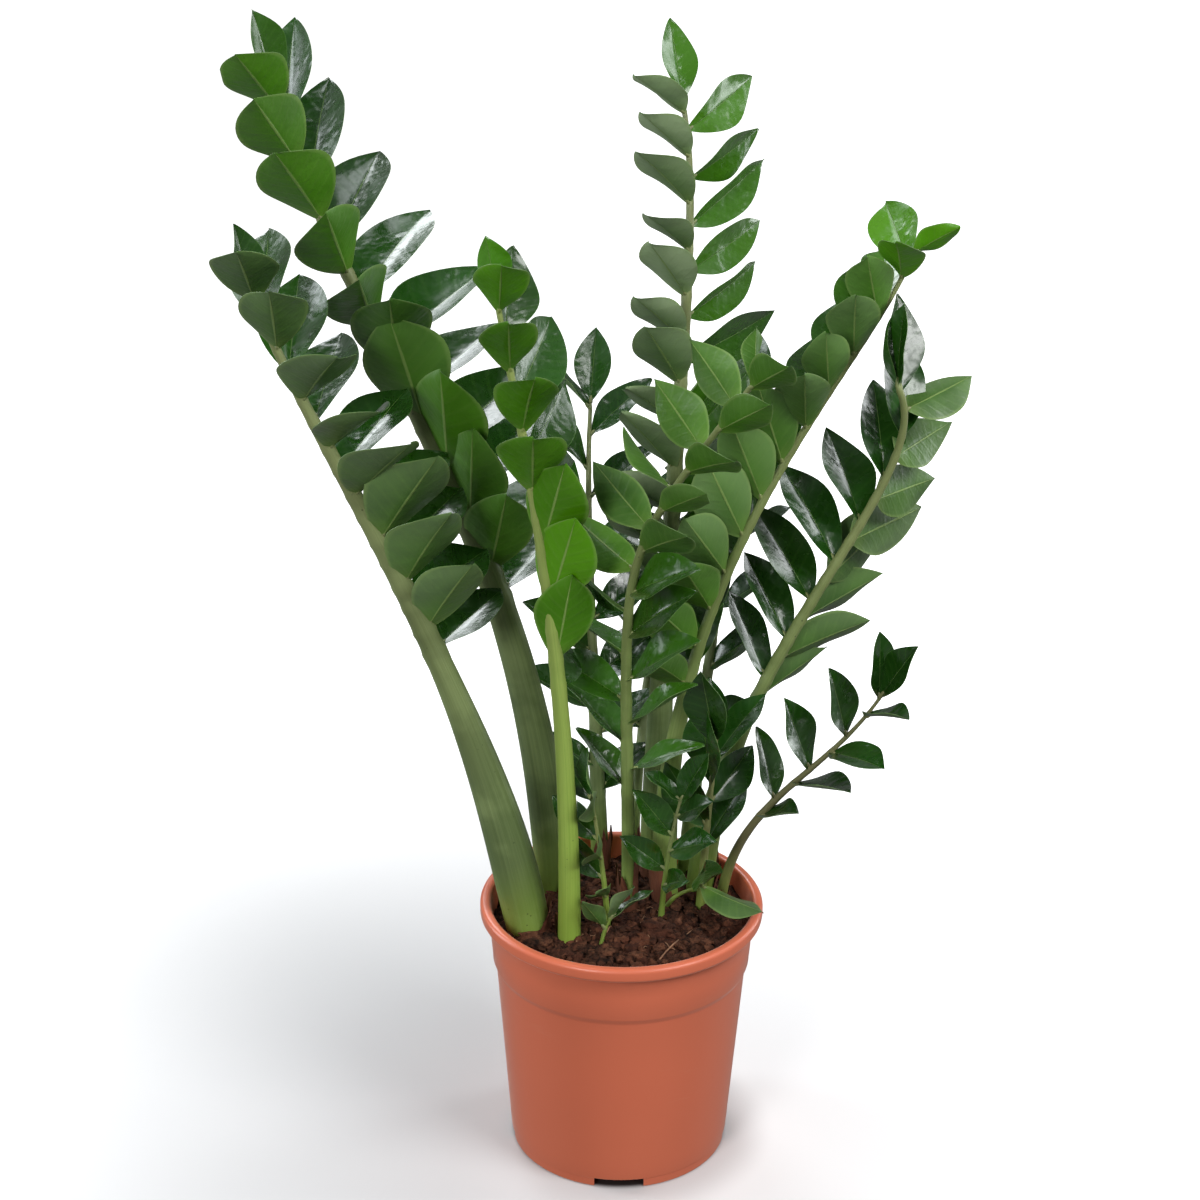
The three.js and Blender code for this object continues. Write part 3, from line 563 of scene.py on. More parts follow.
def stalk_look():
    """Green stalk with lengthwise streaks and specks; its tone picks green, pale or olive."""
    look = Look("stalk", roughness=0.42, Specular_IOR_Level=0.45)
    hue, worn, foot = look.tone()
    streaks = look.noise(1.0, 4, 0.6, (26, 5, 1), look.uv())
    patches = look.remap(look.noise(11, 4, 0.6), 0.42, 0.62)
    green = look.mix(streaks, srgb(78, 96, 50), srgb(148, 168, 110))
    green = look.tint(green, (patches, 0.5, srgb(52, 72, 34)))
    pale = look.mix(streaks, srgb(104, 142, 44), srgb(176, 200, 96))
    olive = look.mix(streaks, srgb(74, 66, 48), srgb(142, 136, 96))
    colour = look.mix(look.remap(hue, 0.0, 0.5), green, pale)
    colour = look.mix(look.remap(hue, 0.5, 1.0), colour, olive)
    specks = look.remap(look.cells(130), 0.06, 0.12, 1.0, 0.0)
    marks = look.times(specks, look.remap(look.noise(18, 2), 0.52, 0.66))
    colour = look.tint(colour, (worn, 0.6, srgb(134, 138, 92)), (foot, 0.7, srgb(134, 166, 62)),
                       (marks, 0.7, srgb(46, 52, 30)))
    height = look.plus(streaks, look.noise(140), 0.4)
    gloss = look.remap(streaks, 0.3, 0.7, 0.36, 0.5)
    return look.finish(colour, gloss, look.bump(height, 0.35 * MM))


def sheath_look():
    """Dry brown skin with fibres that run up the stalk."""
    look = Look("papery_sheath", roughness=0.72)
    fibres = look.noise(1.0, 5, 0.65, (30, 3, 1), look.uv())
    brown = look.mix(fibres, srgb(66, 34, 24), srgb(146, 92, 62))
    brown = look.tint(brown, (look.noise(50, 3), 0.5, srgb(104, 54, 38)))
    return look.finish(brown, None, look.bump(fibres, 0.6 * MM))


def soil_look(name, dark, light, red):
    """Rough crumbly ground between two browns, with redder patches."""
    look = Look(name, roughness=0.95, Specular_IOR_Level=0.2)
    crumbs = look.noise(150, 6, 0.7)
    brown = look.mix(look.remap(crumbs, 0.32, 0.68), dark, light)
    brown = look.tint(brown, (look.remap(look.noise(32, 3), 0.4, 0.65), 0.55, red))
    return look.finish(brown, None, look.bump(look.plus(crumbs, look.cells(210), 0.8), 3.5 * MM))


def fibre_look():
    """Dull straw, unevenly bleached."""
    look = Look("straw_fibre", roughness=0.75)
    return look.finish(look.mix(look.noise(80, 3), srgb(84, 54, 38), srgb(176, 132, 98)))


def pot_look():
    """Moulded terracotta-coloured plastic: satin, faint flow marks, dust and a few scuffs."""
    look = Look("pot_plastic", roughness=0.36, Specular_IOR_Level=0.6, Sheen_Weight=0.45,
                Sheen_Roughness=0.3, Sheen_Tint=(1, 0.86, 0.78, 1))
    flow = look.noise(5.5, 4, 0.55, (1, 1, 0.35))
    scuffs = look.remap(look.noise(16, 6, 0.7, (1, 1, 4)), 0.62, 0.78)
    body = look.mix(flow, srgb(211, 105, 72), srgb(224, 119, 87))
    body = look.tint(body, (look.noise(42, 4), 0.22, srgb(208, 112, 80)),
                     (scuffs, 0.25, srgb(220, 146, 118)))
    height = look.plus(look.noise(60, 3), look.noise(420, 2), 0.25)
    gloss = look.remap(flow, 0.3, 0.7, 0.3, 0.42)
    return look.finish(body, gloss, look.bump(height, 0.12 * MM))


# ---- Mesh helpers
def new_object(name, data):
    """An object of the scene."""
    made = bpy.data.objects.new(name, data)
    bpy.context.scene.collection.objects.link(made)
    return made


class Build:
    """Collects vertices and faces of one piece, then makes its object."""

    def __init__(self):
        self.points, self.faces, self.slots, self.uvs, self.tones = [], [], [], [], []

    def add(self, points, faces, slot=0, uv=None, tone=(0, 0, 0)):
        start = len(self.points)
        self.points.extend(map(tuple, points))
        self.faces.extend(tuple(start + i for i in face) for face in faces)
        self.slots.extend([slot] * len(faces))
        self.uvs.extend(map(tuple, uv) if uv is not None else [(0.0, 0.0)] * len(points))
        tone = np.broadcast_to(np.asarray(tone, float), (len(points), 3))
        self.tones.extend(map(tuple, tone))

    def make(self, name, materials, sharp=None):
        """The piece, smooth but for edges past a sharp angle in degrees, riding on the part."""
        mesh = bpy.data.meshes.new(name)
        mesh.from_pydata(self.points, [], self.faces)
        corners = np.empty(len(mesh.loops), dtype=np.int32)
        mesh.loops.foreach_get("vertex_index", corners)
        layer = mesh.uv_layers.new(name="UVMap")
        layer.data.foreach_set("uv", np.array(self.uvs)[corners].ravel())
        tones = np.ones((len(self.points), 4))
        tones[:, :3] = self.tones
        colours = mesh.color_attributes.new("tone", "FLOAT_COLOR", "POINT")
        colours.data.foreach_set("color", tones.ravel())
        mesh.polygons.foreach_set("material_index", self.slots)
        mesh.polygons.foreach_set("use_smooth", [True] * len(mesh.polygons))
        if sharp:
            mesh.set_sharp_from_angle(angle=math.radians(sharp))
        mesh.update()
        piece = new_object(name, mesh)
        for material in materials:
            mesh.materials.append(material)
        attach(piece, "root")
        return piece


def grid_faces(rows, columns, closed=False):
    """Quads between neighbouring rows of points, wrapped round when closed."""
    faces = []
    last = columns if closed else columns - 1
    for i in range(rows - 1):
        for j in range(last):
            k = (j + 1) % columns
            faces.append((i * columns + j, i * columns + k, (i + 1) * columns + k,
                          (i + 1) * columns + j))
    return faces


def tube_faces(rows, columns):
    """The side of a tube of rings, and its two end caps."""
    faces = grid_faces(rows, columns, closed=True)
    faces.append(tuple(reversed(range(columns))))
    faces.append(tuple(range((rows - 1) * columns, rows * columns)))
    return faces


def flipped(faces):
    return [tuple(reversed(face)) for face in faces]


def circle(radius, z, sides, centre=(0, 0)):
    """A level ring of points."""
    angles = [2 * math.pi * j / sides for j in range(sides)]
    return [(centre[0] + radius * math.cos(a), centre[1] + radius * math.sin(a), z) for a in angles]


def ring(centre, radius, angles, out, side):
    """Points round a centre, in the plane of two directions."""
    return (centre + np.outer(radius * np.cos(angles), out)
            + np.outer(radius * np.sin(angles), side))


# ---- Fronds
# A blade's stations along it and across it, closer together at its ends and its midrib.
BLADE_T = np.concatenate([[0, 0.03, 0.07], np.linspace(0.12, 0.94, 16), [0.97, 0.99, 1]])
BLADE_B = np.array([-1, -0.8, -0.5, -0.2, -0.05, 0.05, 0.2, 0.5, 0.8, 1])
BLADE_HALF_THICKNESS = 0.35 * MM
BLADE_SHARP_ANGLE = 50
MARGIN_THINNING = 0.55
TIP_SHARE = 0.1
TIP_THINNESS = 0.25
ROOT_HALF_WIDTH = 1.5 * MM
LEAST_HALF_WIDTH = 0.15 * MM
CUP = 0.3
TWIST = math.radians(9)
WAVE_HEIGHT = 1.5 * MM
WAVES = 1.6
WAVE_OFFSET = 1.3
CREASE_WIDTH = 0.07
CREASE_DEPTH = 0.35 * MM
RIB_HEIGHT = 0.7 * MM
RIB_TAPER = 0.8


def fine_blade(build, leaf, fresh, pale, random):
    """A leaf's two faces and its edge, on the same form as the solid's blade."""
    t, b = (grid.ravel() for grid in np.meshgrid(BLADE_T, BLADE_B, indexing="ij"))
    root = ROOT_HALF_WIDTH * np.clip(1 - t / ROOT_SHARE, 0, 1)
    half = np.maximum(outline(t) * leaf.width / 2, root + LEAST_HALF_WIDTH)
    sideways = b * half
    bend = (np.sqrt(b * b + CUP * CUP) - CUP) / (math.sqrt(1 + CUP * CUP) - CUP)
    phase = random() * 2 * math.pi + WAVE_OFFSET * np.sign(b)
    wave = WAVE_HEIGHT * np.sin(2 * math.pi * WAVES * t + phase) * b * b
    twist = sideways * t * math.tan(TWIST * (2 * random() - 1))
    rise = bend * half * math.tan(leaf.fold) - leaf.curl * leaf.length * t * t + wave + twist
    middle = leaf.base + np.outer(t * leaf.length, leaf.direction) + np.outer(sideways, leaf.across)
    thin = BLADE_HALF_THICKNESS * (1 - MARGIN_THINNING * b * b)
    thin = thin * np.clip((1 - t) / TIP_SHARE, TIP_THINNESS, 1)
    crease = np.exp(-((b / CREASE_WIDTH) ** 2))
    rib = RIB_HEIGHT * crease * (1 - RIB_TAPER * t)
    top = middle + np.outer(rise + thin - CREASE_DEPTH * crease, leaf.normal)
    under = middle + np.outer(rise - thin - rib, leaf.normal)
    top, under = (np.clip(points, CAD_BOX[0], CAD_BOX[1]) for points in (top, under))
    uv = np.stack([t, (b + 1) / 2], 1)
    tone = (random(), pale, fresh)
    rows, columns = len(BLADE_T), len(BLADE_B)
    build.add(top, flipped(grid_faces(rows, columns)), 0, uv, tone)
    build.add(under, grid_faces(rows, columns), 1, uv, tone)
    border = [i * columns for i in range(rows)]
    border += [(rows - 1) * columns + j for j in range(1, columns)]
    border += [i * columns + columns - 1 for i in range(rows - 2, -1, -1)]
    border += list(range(columns - 2, 0, -1))
    rim = np.concatenate([top[border], under[border]])
    edge = grid_faces(2, len(border), closed=True)
    build.add(rim, flipped(edge), 2, np.concatenate([uv[border], uv[border]]), tone)


STALK_SIDES = 18
STALK_SMOOTHING = 0.035
STALK_RIBS = 0.02
JOINT_SWELL = 0.09
JOINT_SWELL_REACH = 3 * MM
TIP_ROUNDING = (0.8, 0.35)
# Where a stalk turns from fresh to worn, by the share of its length, and where its pale foot ends.
WORN_SHARES = (0.25, 0.8)
FOOT_REACH = (60 * MM, 130 * MM)


def fine_stalk(build, stalk, leaves, random):
    """The stalk with a smooth taper, small swellings where leaves join and a blunt tip."""
    shares = np.concatenate([np.linspace(0, stalk.row["start"], 26)[:-1],
                             np.linspace(stalk.row["start"], 1, 90)])
    shifted = (np.clip(shares + k * STALK_SMOOTHING, 0, 1) for k in (-1, 0, 1))
    radius = sum(stalk.radius(spots) for spots in shifted) / 3
    length = stalk.reach[-1]
    for leaf in leaves:
        away = (shares - leaf.at) * length / JOINT_SWELL_REACH
        radius = radius * (1 + JOINT_SWELL * np.exp(-(away ** 2)))
    radius[-2:] *= TIP_ROUNDING
    angles = np.linspace(0, 2 * math.pi, STALK_SIDES, endpoint=False)
    phase = random() * 6
    points, uv, tone = [], [], []
    hue = stalk.hue / 2
    for share, r in zip(shares, radius):
        point, _, out, side = stalk.frame(float(share))
        ribs = 1 + STALK_RIBS * np.sin(3 * angles + phase + 3 * share)
        points.append(ring(point, r * ribs, angles, out, side))
        uv.append(np.stack([np.abs(angles / math.pi - 1), np.full(STALK_SIDES, share)], 1))
        worn = np.interp(share, WORN_SHARES, (0, 1))
        foot = np.interp(share * length, FOOT_REACH, (1, 0))
        tone.append(np.tile([hue, worn, foot], (STALK_SIDES, 1)))
    faces = tube_faces(len(shares), STALK_SIDES)
    build.add(np.concatenate(points), faces, 0, np.concatenate(uv), np.concatenate(tone))


# The stub under a leaf: shares of its length and its radius there in millimetres.
JOINT_PROFILE = ((0, 2.0), (0.6, 1.7), (0.85, 1.25), (1, 0.7))
JOINT_LENGTH = 5 * MM
JOINT_SIDES = 8


def leaf_joint(build, leaf, stalk_radius):
    """The short stub that carries a leaf out of the stalk."""
    angles = np.linspace(0, 2 * math.pi, JOINT_SIDES, endpoint=False)
    sideways = np.cross(leaf.direction, leaf.normal)
    widest = 0.9 * stalk_radius + 0.4 * MM
    points = []
    for share, radius in JOINT_PROFILE:
        centre = leaf.base + leaf.direction * (stalk_radius + JOINT_LENGTH) * share
        points.append(ring(centre, min(radius * MM, widest), angles, leaf.normal, sideways))
    rows = len(JOINT_PROFILE)
    faces = grid_faces(rows, JOINT_SIDES, closed=True)
    faces.append(tuple(range((rows - 1) * JOINT_SIDES, rows * JOINT_SIDES)))
    tone = (leaf.stalk.hue / 2, 1, 0)
    build.add(np.concatenate(points), faces, 0, None, tone)


# Where up a frond its topmost leaves begin.
YOUNG_FROM = 0.8
FROND_SEED = 900


def dress_frond(stalk, leaves, looks):
    """A frond's leaves and its stalk, in place of its node."""
    random = seeded_random(FROND_SEED + stalk.row["seed"])
    blades = Build()
    stems = Build()
    fine_stalk(stems, stalk, leaves, random)
    for leaf in leaves:
        rank = 0 if leaf.rank == 1 else 1
        fresh = stalk.fresh[rank] * (0.6 + 0.8 * random())
        # Under-face paleness: partly the leaf's own paler green, partly painted sheen.
        pale = stalk.pale[rank] * (0.5 + random())
        if leaf.at == 1.0:
            fresh = sum(stalk.fresh) / 2
        fresh += stalk.young_end * max(0, leaf.climb - YOUNG_FROM) / (1 - YOUNG_FROM)
        fine_blade(blades, leaf, fresh, pale, random)
        leaf_joint(stems, leaf, float(stalk.radius(leaf.at)))
    leaf_piece = blades.make(stalk.name + "_leaves", looks["leaf"], sharp=BLADE_SHARP_ANGLE)
    stalk_piece = stems.make(stalk.name + "_stalk", [looks["stalk"]])
    for piece in (leaf_piece, stalk_piece):
        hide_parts(stalk.name)


# ---- Soil
SOIL_EDGE_Z = 209 * MM
SOIL_MOUND_HEIGHT = 11 * MM
SOIL_MOUND_CENTRE = (28 * MM, -12 * MM)
SOIL_MOUND_SPREAD = 52 * MM
SOIL_CRUMB_HEIGHT = 1.6 * MM
SOIL_TOP_RADIUS = 108.6 * MM
SOIL_CENTRE_RADIUS = 0.2 * MM
SOIL_SECTORS = 160
SOIL_RINGS = 56
# Radius and height in millimetres of the soil's foot and side, just inside the pot's wall.
SOIL_SIDE = [(0.2, 12), (90.8, 12), (102.8, 165), (106, 176)]
# Small relief that the solid lacks: its height, and its scale in waves a metre.
FINE_RELIEF = (2.0 * MM, 120)
COARSE_RELIEF = (2.2 * MM, 45)


def soil_height(x, y):
    """The solid's own top, with its mound and its larger crumbs."""
    dx, dy = x - SOIL_MOUND_CENTRE[0], y - SOIL_MOUND_CENTRE[1]
    mound = math.exp(-(dx * dx + dy * dy) / (2 * SOIL_MOUND_SPREAD ** 2))
    u, v = x / MM, y / MM
    crumbs = (math.sin(0.31 * u + 0.17 * v) * math.sin(0.23 * v - 0.11 * u)
              + 0.7 * math.sin(0.47 * u - 0.39 * v))
    return SOIL_EDGE_Z + SOIL_MOUND_HEIGHT * mound + SOIL_CRUMB_HEIGHT * crumbs


def rough_soil_height(x, y):
    spot = Vector((x, y, 0))
    fine = FINE_RELIEF[0] * noise.fractal(spot * FINE_RELIEF[1], 0.8, 2.1, 4)
    return soil_height(x, y) + fine + COARSE_RELIEF[0] * noise.noise(spot * COARSE_RELIEF[1])


def dress_soil(looks):
    """The bed of soil, in place of its node."""
    points = []
    for radius, z in SOIL_SIDE:
        points += circle(radius * MM, z * MM, SOIL_SECTORS)
    for i in range(SOIL_RINGS):
        radius = SOIL_TOP_RADIUS * (1 - i / (SOIL_RINGS - 1)) + SOIL_CENTRE_RADIUS
        spots = circle(radius, 0, SOIL_SECTORS)
        points += [(x, y, rough_soil_height(x, y)) for x, y, _ in spots]
    build = Build()
    build.add(points, grid_faces(len(SOIL_SIDE) + SOIL_RINGS, SOIL_SECTORS, closed=True))
    soil = build.make("soil_bed", [looks["soil"]])
    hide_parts("soil")


def lump_mesh(detail):
    """Unit sphere points and faces, taken from an icosphere."""
    mesh = bpy.data.meshes.new("lump")
    ball = bmesh.new()
    bmesh.ops.create_icosphere(ball, subdivisions=detail, radius=1)
    ball.to_mesh(mesh)
    ball.free()
    points = np.array([v.co[:] for v in mesh.vertices])
    faces = [tuple(p.vertices) for p in mesh.polygons]
    bpy.data.meshes.remove(mesh)
    return points, faces


SCATTER_RADIUS = 103 * MM
LUMP_TILT = 0.7
LUMP_BULGE = 0.45
LUMP_SHARP_ANGLE = 24


def scatter_lumps(name, count, sizes, flatness, detail, materials, seed):
    """Uneven lumps that lie half sunk in the soil; sizes are the least and the largest, in mm."""
    random = seeded_random(seed)
    points, faces = lump_mesh(detail)
    build = Build()
    for _ in range(count):
        size = MM * (sizes[0] + (sizes[1] - sizes[0]) * random() ** 2.2)
        reach = (SCATTER_RADIUS - size) * math.sqrt(random())
        angle = 2 * math.pi * random()
        x, y = reach * math.cos(angle), reach * math.sin(angle)
        shape = (size * (0.7 + 0.6 * random()), size * (0.5 + 0.4 * random()),
                 size * flatness * (0.7 + 0.6 * random()))
        turn = Euler((LUMP_TILT * (random() - 0.5), LUMP_TILT * (random() - 0.5), 6.28 * random()))
        turn = turn.to_matrix()
        offset = Vector((random() * 50, random() * 50, random() * 50))
        spot = Vector((x, y, rough_soil_height(x, y) + 0.25 * shape[2]))
        lump = []
        for point in points:
            bulge = 1 + LUMP_BULGE * noise.noise(Vector(point) * 1.6 + offset)
            lump.append(spot + turn @ Vector([bulge * a * b for a, b in zip(point, shape)]))
        build.add(lump, faces, int(random() * len(materials)))
    piece = build.make(name, materials, sharp=LUMP_SHARP_ANGLE)


TUBE_SIDES = 6


def tube(build, route, radius):
    """A closed tube along a list of points."""
    route = [Vector(point) for point in route]
    points = []
    for i, point in enumerate(route):
        along = (route[min(i + 1, len(route) - 1)] - route[max(i - 1, 0)]).normalized()
        side = along.cross(Vector((0.3, 0.2, 0.93))).normalized()
        up = side.cross(along)
        for j in range(TUBE_SIDES):
            angle = 2 * math.pi * j / TUBE_SIDES
            points.append(point + radius * (math.cos(angle) * side + math.sin(angle) * up))
    build.add(points, tube_faces(len(route), TUBE_SIDES))


FIBRE_COUNT = 34
FIBRE_STEPS = 6
FIBRE_SEED = 77
# The one long straw near the front of the rim, in millimetres.
STRAW = [(31, -88, 222), (36, -80, 224.5), (42, -71, 226), (47, -63, 226)]
STRAW_RADIUS = 0.7 * MM


def scatter_fibres(looks):
    """Thin roots and straw that lie over the soil."""
    random = seeded_random(FIBRE_SEED)
    build = Build()
    for _ in range(FIBRE_COUNT):
        length = MM * (8 + 26 * random() ** 2)
        reach = 96 * MM * math.sqrt(random())
        angle, heading = 6.28 * random(), 6.28 * random()
        x, y = reach * math.cos(angle), reach * math.sin(angle)
        bend = 1.6 * (random() - 0.5)
        route = []
        for i in range(FIBRE_STEPS + 1):
            lift = MM * (1.2 + 1.4 * math.sin(math.pi * i / FIBRE_STEPS) * random())
            route.append((x, y, rough_soil_height(x, y) + lift))
            heading += bend / FIBRE_STEPS
            x += length / FIBRE_STEPS * math.cos(heading)
            y += length / FIBRE_STEPS * math.sin(heading)
            if math.hypot(x, y) > SCATTER_RADIUS:
                break
        if len(route) > 2:
            tube(build, route, MM * (0.25 + 0.3 * random()))
    tube(build, [Vector(point) * MM for point in STRAW], STRAW_RADIUS)
    piece = build.make("soil_fibres", [looks["fibre"]])


# ---- Papery sheaths
# Stalk, highest z of the sheath in millimetres, the degree round the stalk where it starts and how
# many it wraps, and how many millimetres its top stands off.
SHEATHS = [
    ("frond_middle", 262, -20, 190, 4),
    ("frond_middle", 300, 160, 120, 3),
    ("frond_left_low", 232, -60, 130, 3),
    ("frond_front", 236, 60, 150, 3),
    ("frond_left_tall", 248, -70, 170, 4),
    ("frond_right_arch", 268, -60, 170, 5),
    ("frond_right", 246, 120, 160, 4),
    ("frond_centre_back", 256, 180, 150, 4),
    ("frond_short_right", 240, 60, 200, 3),
    ("frond_low_right", 236, 0, 200, 3),
    ("frond_back_right", 262, 40, 160, 4),
    ("frond_back_left", 250, -60, 160, 4),
]
SHEATH_FOOT_Z = 205
SHEATH_ROWS = 14
SHEATH_COLUMNS = 15
SHEATH_GAP = 0.9 * MM
SHEATH_HALF_THICKNESS = 0.25 * MM
SHEATH_CRUMPLE = 0.7 * MM
SHEATH_TAPER = 0.55


def dress_sheaths(stalks, looks):
    """Dry brown leaf bases that wrap the stalks' feet, with torn tops."""
    by_name = {stalk.name: stalk for stalk in stalks}
    build = Build()
    grid = list(product(range(SHEATH_ROWS), range(SHEATH_COLUMNS)))
    for index, (name, high, start, wrap, flare) in enumerate(SHEATHS):
        stalk = by_name[name]
        heights = np.array([SHEATH_FOOT_Z, high]) * MM
        shares = np.interp(heights, stalk.axis[:, 2], stalk.shares)
        inner, outer, uv = [], [], []
        for i, j in grid:
            u, v = i / (SHEATH_ROWS - 1), j / (SHEATH_COLUMNS - 1)
            torn = noise.noise(Vector((v * 6, index * 7.3, 0)))
            narrow = 1 - SHEATH_TAPER * u * u
            angle = math.radians(start + wrap * (0.5 + (v - 0.5) * narrow))
            share = shares[0] + (shares[1] - shares[0]) * u * (0.85 + 0.4 * torn)
            point, _, out, side = stalk.frame(float(share))
            crumple = SHEATH_CRUMPLE * noise.noise(Vector((u * 4, v * 5, index * 3.1)))
            stand = stalk.radius(share) + SHEATH_GAP + flare * MM * u * u + crumple
            reach = math.cos(angle) * out + math.sin(angle) * side
            outer.append(point + (stand + SHEATH_HALF_THICKNESS) * reach)
            inner.append(point + (stand - SHEATH_HALF_THICKNESS) * reach)
            uv.append((v, u))
        faces = grid_faces(SHEATH_ROWS, SHEATH_COLUMNS)
        build.add(outer, flipped(faces), 0, uv)
        build.add(inner, faces, 0, uv)
    piece = build.make("papery_sheaths", [looks["sheath"]])


# ---- Pot
POT_SEGMENTS = 240
POT_SHARP_ANGLE = 38
NOTCH_COUNT = 4
NOTCH_WIDTH = 42 * MM
NOTCH_DEPTH = 14 * MM
NOTCH_HEIGHT = 8.4 * MM
NOTCH_MIDDLE = 91.5 * MM
DRAIN_COUNT = 6
DRAIN_CIRCLE = 58 * MM
DRAIN_RADIUS = 6 * MM
DRAIN_SIDES = 32
DRAIN_CUT_Z = (5 * MM, 16 * MM)


def arc(centre, radius, start, end, steps):
    """Points of an arc in the section, from one degree to another."""
    for i in range(steps + 1):
        angle = math.radians(start + (end - start) * i / steps)
        yield centre[0] + radius * math.cos(angle), centre[1] + radius * math.sin(angle)


def pot_profile():
    """The wall's section in millimetres, from under the floor round the rim to the floor."""
    foot = [(0.2, 0), (23, 0), (24, 0.6), (25.6, 8.6), (26.4, 9), (88.6, 9), (89.2, 8.6), (90, 0.6),
            (90.6, 0), (92.4, 0), (93, 0.6), (93.7, 8.4), (94.3, 8.9), (94.4, 9.4)]
    wall = [(95.3, 22), (99.1, 72), (102.8, 120), (106.6, 170), (106.9, 171.6)]
    collar = [(108.9, 175.2), (109.5, 176.8), (111, 197), (112.4, 216.2), (113, 217.6),
              (114.2, 218.2)]
    rim = [*arc((117, 221), 3, -90, 0, 5), *arc((116.4, 226.4), 3.6, 0, 90, 7)]
    lip = arc((114.4, 226.6), 3.4, 90, 180, 6)
    inside = [(110.6, 222), (110.1, 218), (107.1, 177), (104.4, 172), (92.9, 22), (91.2, 12),
              (90, 11.5), (0.2, 11.5)]
    return [*foot, *wall, *collar, *rim, *lip, *inside]


def notch_cutter(build, turn):
    """A box through the foot ring, at a turn round the pot."""
    corners = []
    for x, y, z in product((-0.5, 0.5), repeat=3):
        spot = Vector((x * NOTCH_WIDTH, NOTCH_MIDDLE + y * NOTCH_DEPTH, z * 2 * NOTCH_HEIGHT))
        corners.append(Euler((0, 0, turn)).to_matrix() @ spot)
    faces = [(0, 1, 3, 2), (4, 6, 7, 5), (0, 4, 5, 1), (2, 3, 7, 6), (0, 2, 6, 4), (1, 5, 7, 3)]
    build.add(corners, faces)


def drain_cutter(build, turn):
    """A round peg through the floor, at a turn round the pot."""
    centre = (DRAIN_CIRCLE * math.cos(turn), DRAIN_CIRCLE * math.sin(turn))
    points = [point for z in DRAIN_CUT_Z for point in circle(DRAIN_RADIUS, z, DRAIN_SIDES, centre)]
    build.add(points, tube_faces(2, DRAIN_SIDES))


def dress_pot(looks):
    """The pot turned from its section, with its notches and drain holes cut, in its node's place."""
    build = Build()
    profile = pot_profile()
    points = []
    for radius, z in profile:
        points += [(x * MM, y * MM, z * MM) for x, y, _ in circle(radius, z, POT_SEGMENTS)]
    build.add(points, tube_faces(len(profile), POT_SEGMENTS))
    pot = build.make("pot_body", [looks["pot"]])
    cutters = Build()
    for i in range(NOTCH_COUNT):
        notch_cutter(cutters, 2 * math.pi * i / NOTCH_COUNT)
    for i in range(DRAIN_COUNT):
        drain_cutter(cutters, 2 * math.pi * (i + 0.5) / DRAIN_COUNT)
    cutter = cutters.make("pot_cutter", [])
    cut = pot.modifiers.new("notches", "BOOLEAN")
    cut.operation = "DIFFERENCE"
    cut.solver = "EXACT"
    cut.object = cutter
    evaluated = pot.evaluated_get(bpy.context.evaluated_depsgraph_get())
    shaped = bpy.data.meshes.new_from_object(evaluated)
    pot.modifiers.clear()
    pot.data = shaped
    bpy.data.objects.remove(cutter)
    shaped.set_sharp_from_angle(angle=math.radians(POT_SHARP_ANGLE))
    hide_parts("pot")


# ---- Stage
CAMERA_PLACE = (-0.0205, -1.854, 1.287)
CAMERA_PITCH = 22.9
CAMERA_ROLL = 0.0089
LENS = 74.8
WORLD_LIGHT = 0.18
# The floor's section: radius and height where it sweeps up into a wall all round.
FLOOR_PROFILE = [(5, 0), (5.2, 0), (6.2, 0.1), (7.2, 0.5), (8, 1.3), (8.4, 2.4), (8.5, 4), (8.5, 12)]
FLOOR_SIDES = 96


def floor_look():
    """Pale grey glowing far off, with a painted-light glow on the right and painted shadow under the
    pot.
    """
    look = Look("pale_floor", roughness=0.85, Specular_IOR_Level=0.1,
                Emission_Color=(1, 1, 1, 1))
    reach = look.node("VectorMath", {0: look.place}, operation="LENGTH")["Value"]
    sideways = look.node("SeparateXYZ", {"Vector": look.place})["X"]
    # Painted light: a glow on the right of the pot and none under it, so the left side reads as shade.
    right = look.remap(sideways, -0.15, 0.12, 0.0, 0.3)
    right = look.times(right, look.remap(reach, 0.095, 0.14))
    far = look.remap(reach, 0.15, 1.2)
    look.feed(look.shader.inputs["Emission Strength"], look.math("ADD", right, far))
    pale = look.mix(look.noise(2), (0.61, 0.61, 0.615, 1), (0.63, 0.63, 0.635, 1))
    # Painted shadow: near-black colour in the gap under the pot's foot.
    painted_shadow_under_pot = look.remap(reach, 0.088, 0.096, 1.0, 0.0)
    return look.finish(look.mix(painted_shadow_under_pot, pale, (0.03, 0.027, 0.025, 1)))


def set_floor():
    """A round floor that sweeps up all round, so that every view has a white backdrop."""
    points = []
    for radius, z in FLOOR_PROFILE:
        points += circle(radius, z, FLOOR_SIDES)
    faces = flipped(grid_faces(len(FLOOR_PROFILE), FLOOR_SIDES, closed=True))
    faces.append(tuple(range(FLOOR_SIDES)))
    mesh = bpy.data.meshes.new("floor")
    mesh.from_pydata(points, [], faces)
    mesh.polygons.foreach_set("use_smooth", [True] * len(faces))
    mesh.materials.append(floor_look())
    floor = new_object("floor", mesh)
    floor.visible_diffuse = False
    floor.visible_shadow = False
    floor.visible_glossy = False


def soft_light(name, place, aim, size, power, colour=(1, 1, 1)):
    """A round soft lamp, or an upright strip where size is (width, height)."""
    light = bpy.data.lights.new(name, "AREA")
    if isinstance(size, tuple):
        light.shape = "RECTANGLE"
        light.size, light.size_y = size
    else:
        light.shape = "DISK"
        light.size = size
    light.energy = power
    light.color = colour
    lamp = new_object(name, light)
    lamp.location = place
    lamp.rotation_euler = (Vector(aim) - Vector(place)).to_track_quat("-Z", "Y").to_euler()


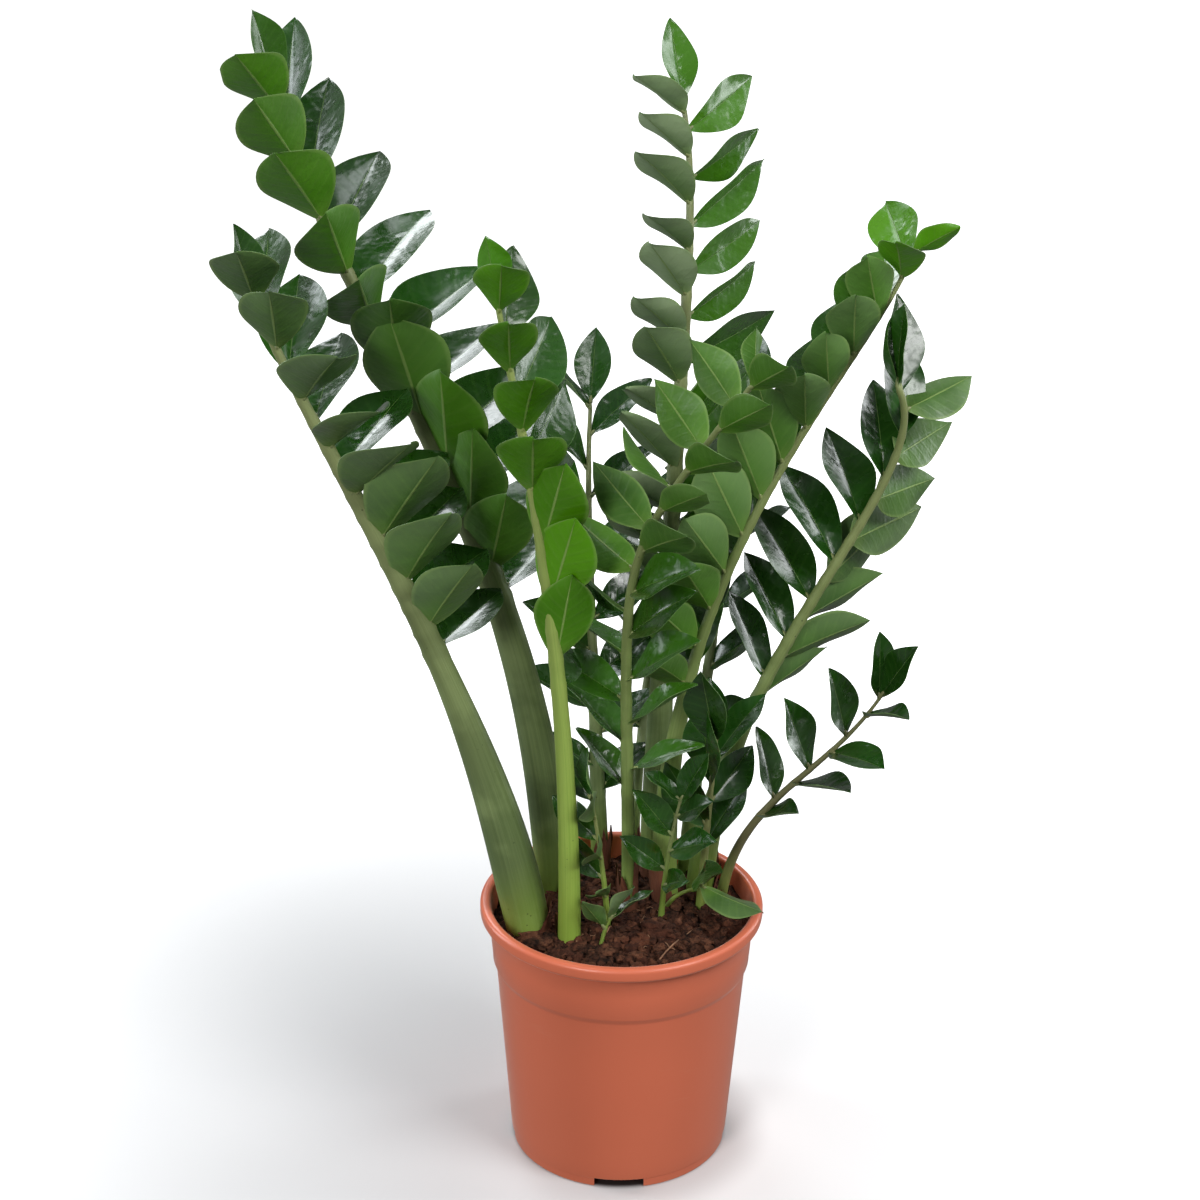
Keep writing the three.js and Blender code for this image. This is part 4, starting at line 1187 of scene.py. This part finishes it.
def set_lights():
    """A key from the right, lamps in front, above and behind, and a strip at each side."""
    world = bpy.data.worlds.new("studio")
    world.use_nodes = True
    background = world.node_tree.nodes["Background"]
    background.inputs["Color"].default_value = (1, 1, 1, 1)
    background.inputs["Strength"].default_value = WORLD_LIGHT
    bpy.context.scene.world = world
    soft_light("key", (1.7, -1.3, 2.3), (0, 0, 0.5), 1.5, 56)
    soft_light("front", (-1.2, -2.3, 1.6), (0, 0, 0.4), 1.0, 39)
    soft_light("strip_left", (-1.8, 0.5, 1.1), (0, 0, 1.1), (0.5, 2.0), 20, (0.9, 0.96, 1))
    soft_light("strip_right", (1.75, 1.0, 1.1), (0, 0, 1.1), (0.5, 2.0), 16, (0.95, 0.98, 1))
    soft_light("above", (-0.5, 0.5, 2.6), (-0.1, 0, 0.5), 0.9, 8, (0.93, 0.97, 1))
    soft_light("back", (-0.9, 2.1, 2.1), (0, 0, 0.5), 1.3, 26, (0.93, 0.97, 1))
    bpy.context.scene.view_settings.view_transform = "Standard"


def set_camera():
    """The photograph's view, level but for its slight roll."""
    camera = bpy.data.cameras.new("camera")
    camera.lens = LENS
    camera.sensor_width = 36
    camera.sensor_fit = "HORIZONTAL"
    view = new_object("camera", camera)
    view.location = CAMERA_PLACE
    tilt = Euler((math.radians(90 - CAMERA_PITCH), 0, 0)).to_matrix()
    roll = Euler((0, 0, CAMERA_ROLL)).to_matrix()
    view.rotation_euler = (tilt @ roll).to_euler()
    bpy.context.scene.camera = view


def main():
    """Everything on the CAD frame: materials, stage, plant, soil and pot."""
    looks = {
        "leaf": [leaf_top_look(), leaf_under_look(), leaf_edge_look()],
        "stalk": stalk_look(),
        "sheath": sheath_look(),
        "soil": soil_look("soil", srgb(18, 10, 7), srgb(88, 56, 41), srgb(78, 42, 29)),
        "bark": soil_look("bark", srgb(50, 29, 21), srgb(116, 76, 55), srgb(98, 55, 38)),
        "fibre": fibre_look(),
        "pot": pot_look(),
    }
    set_floor()
    set_lights()
    set_camera()
    stalks = [Stalk(row) for row in FRONDS]
    leaves = grow_leaves(stalks)
    for stalk in stalks:
        dress_frond(stalk, [leaf for leaf in leaves if leaf.stalk is stalk], looks)
    dress_soil(looks)
    scatter_lumps("soil_crumbs", 1300, (1.3, 7.5), 0.5, 1, [looks["soil"], looks["bark"]], 31)
    scatter_lumps("bark_chips", 100, (5, 13), 0.32, 2, [looks["bark"], looks["soil"]], 32)
    scatter_fibres(looks)
    dress_sheaths(stalks, looks)
    dress_pot(looks)


main()
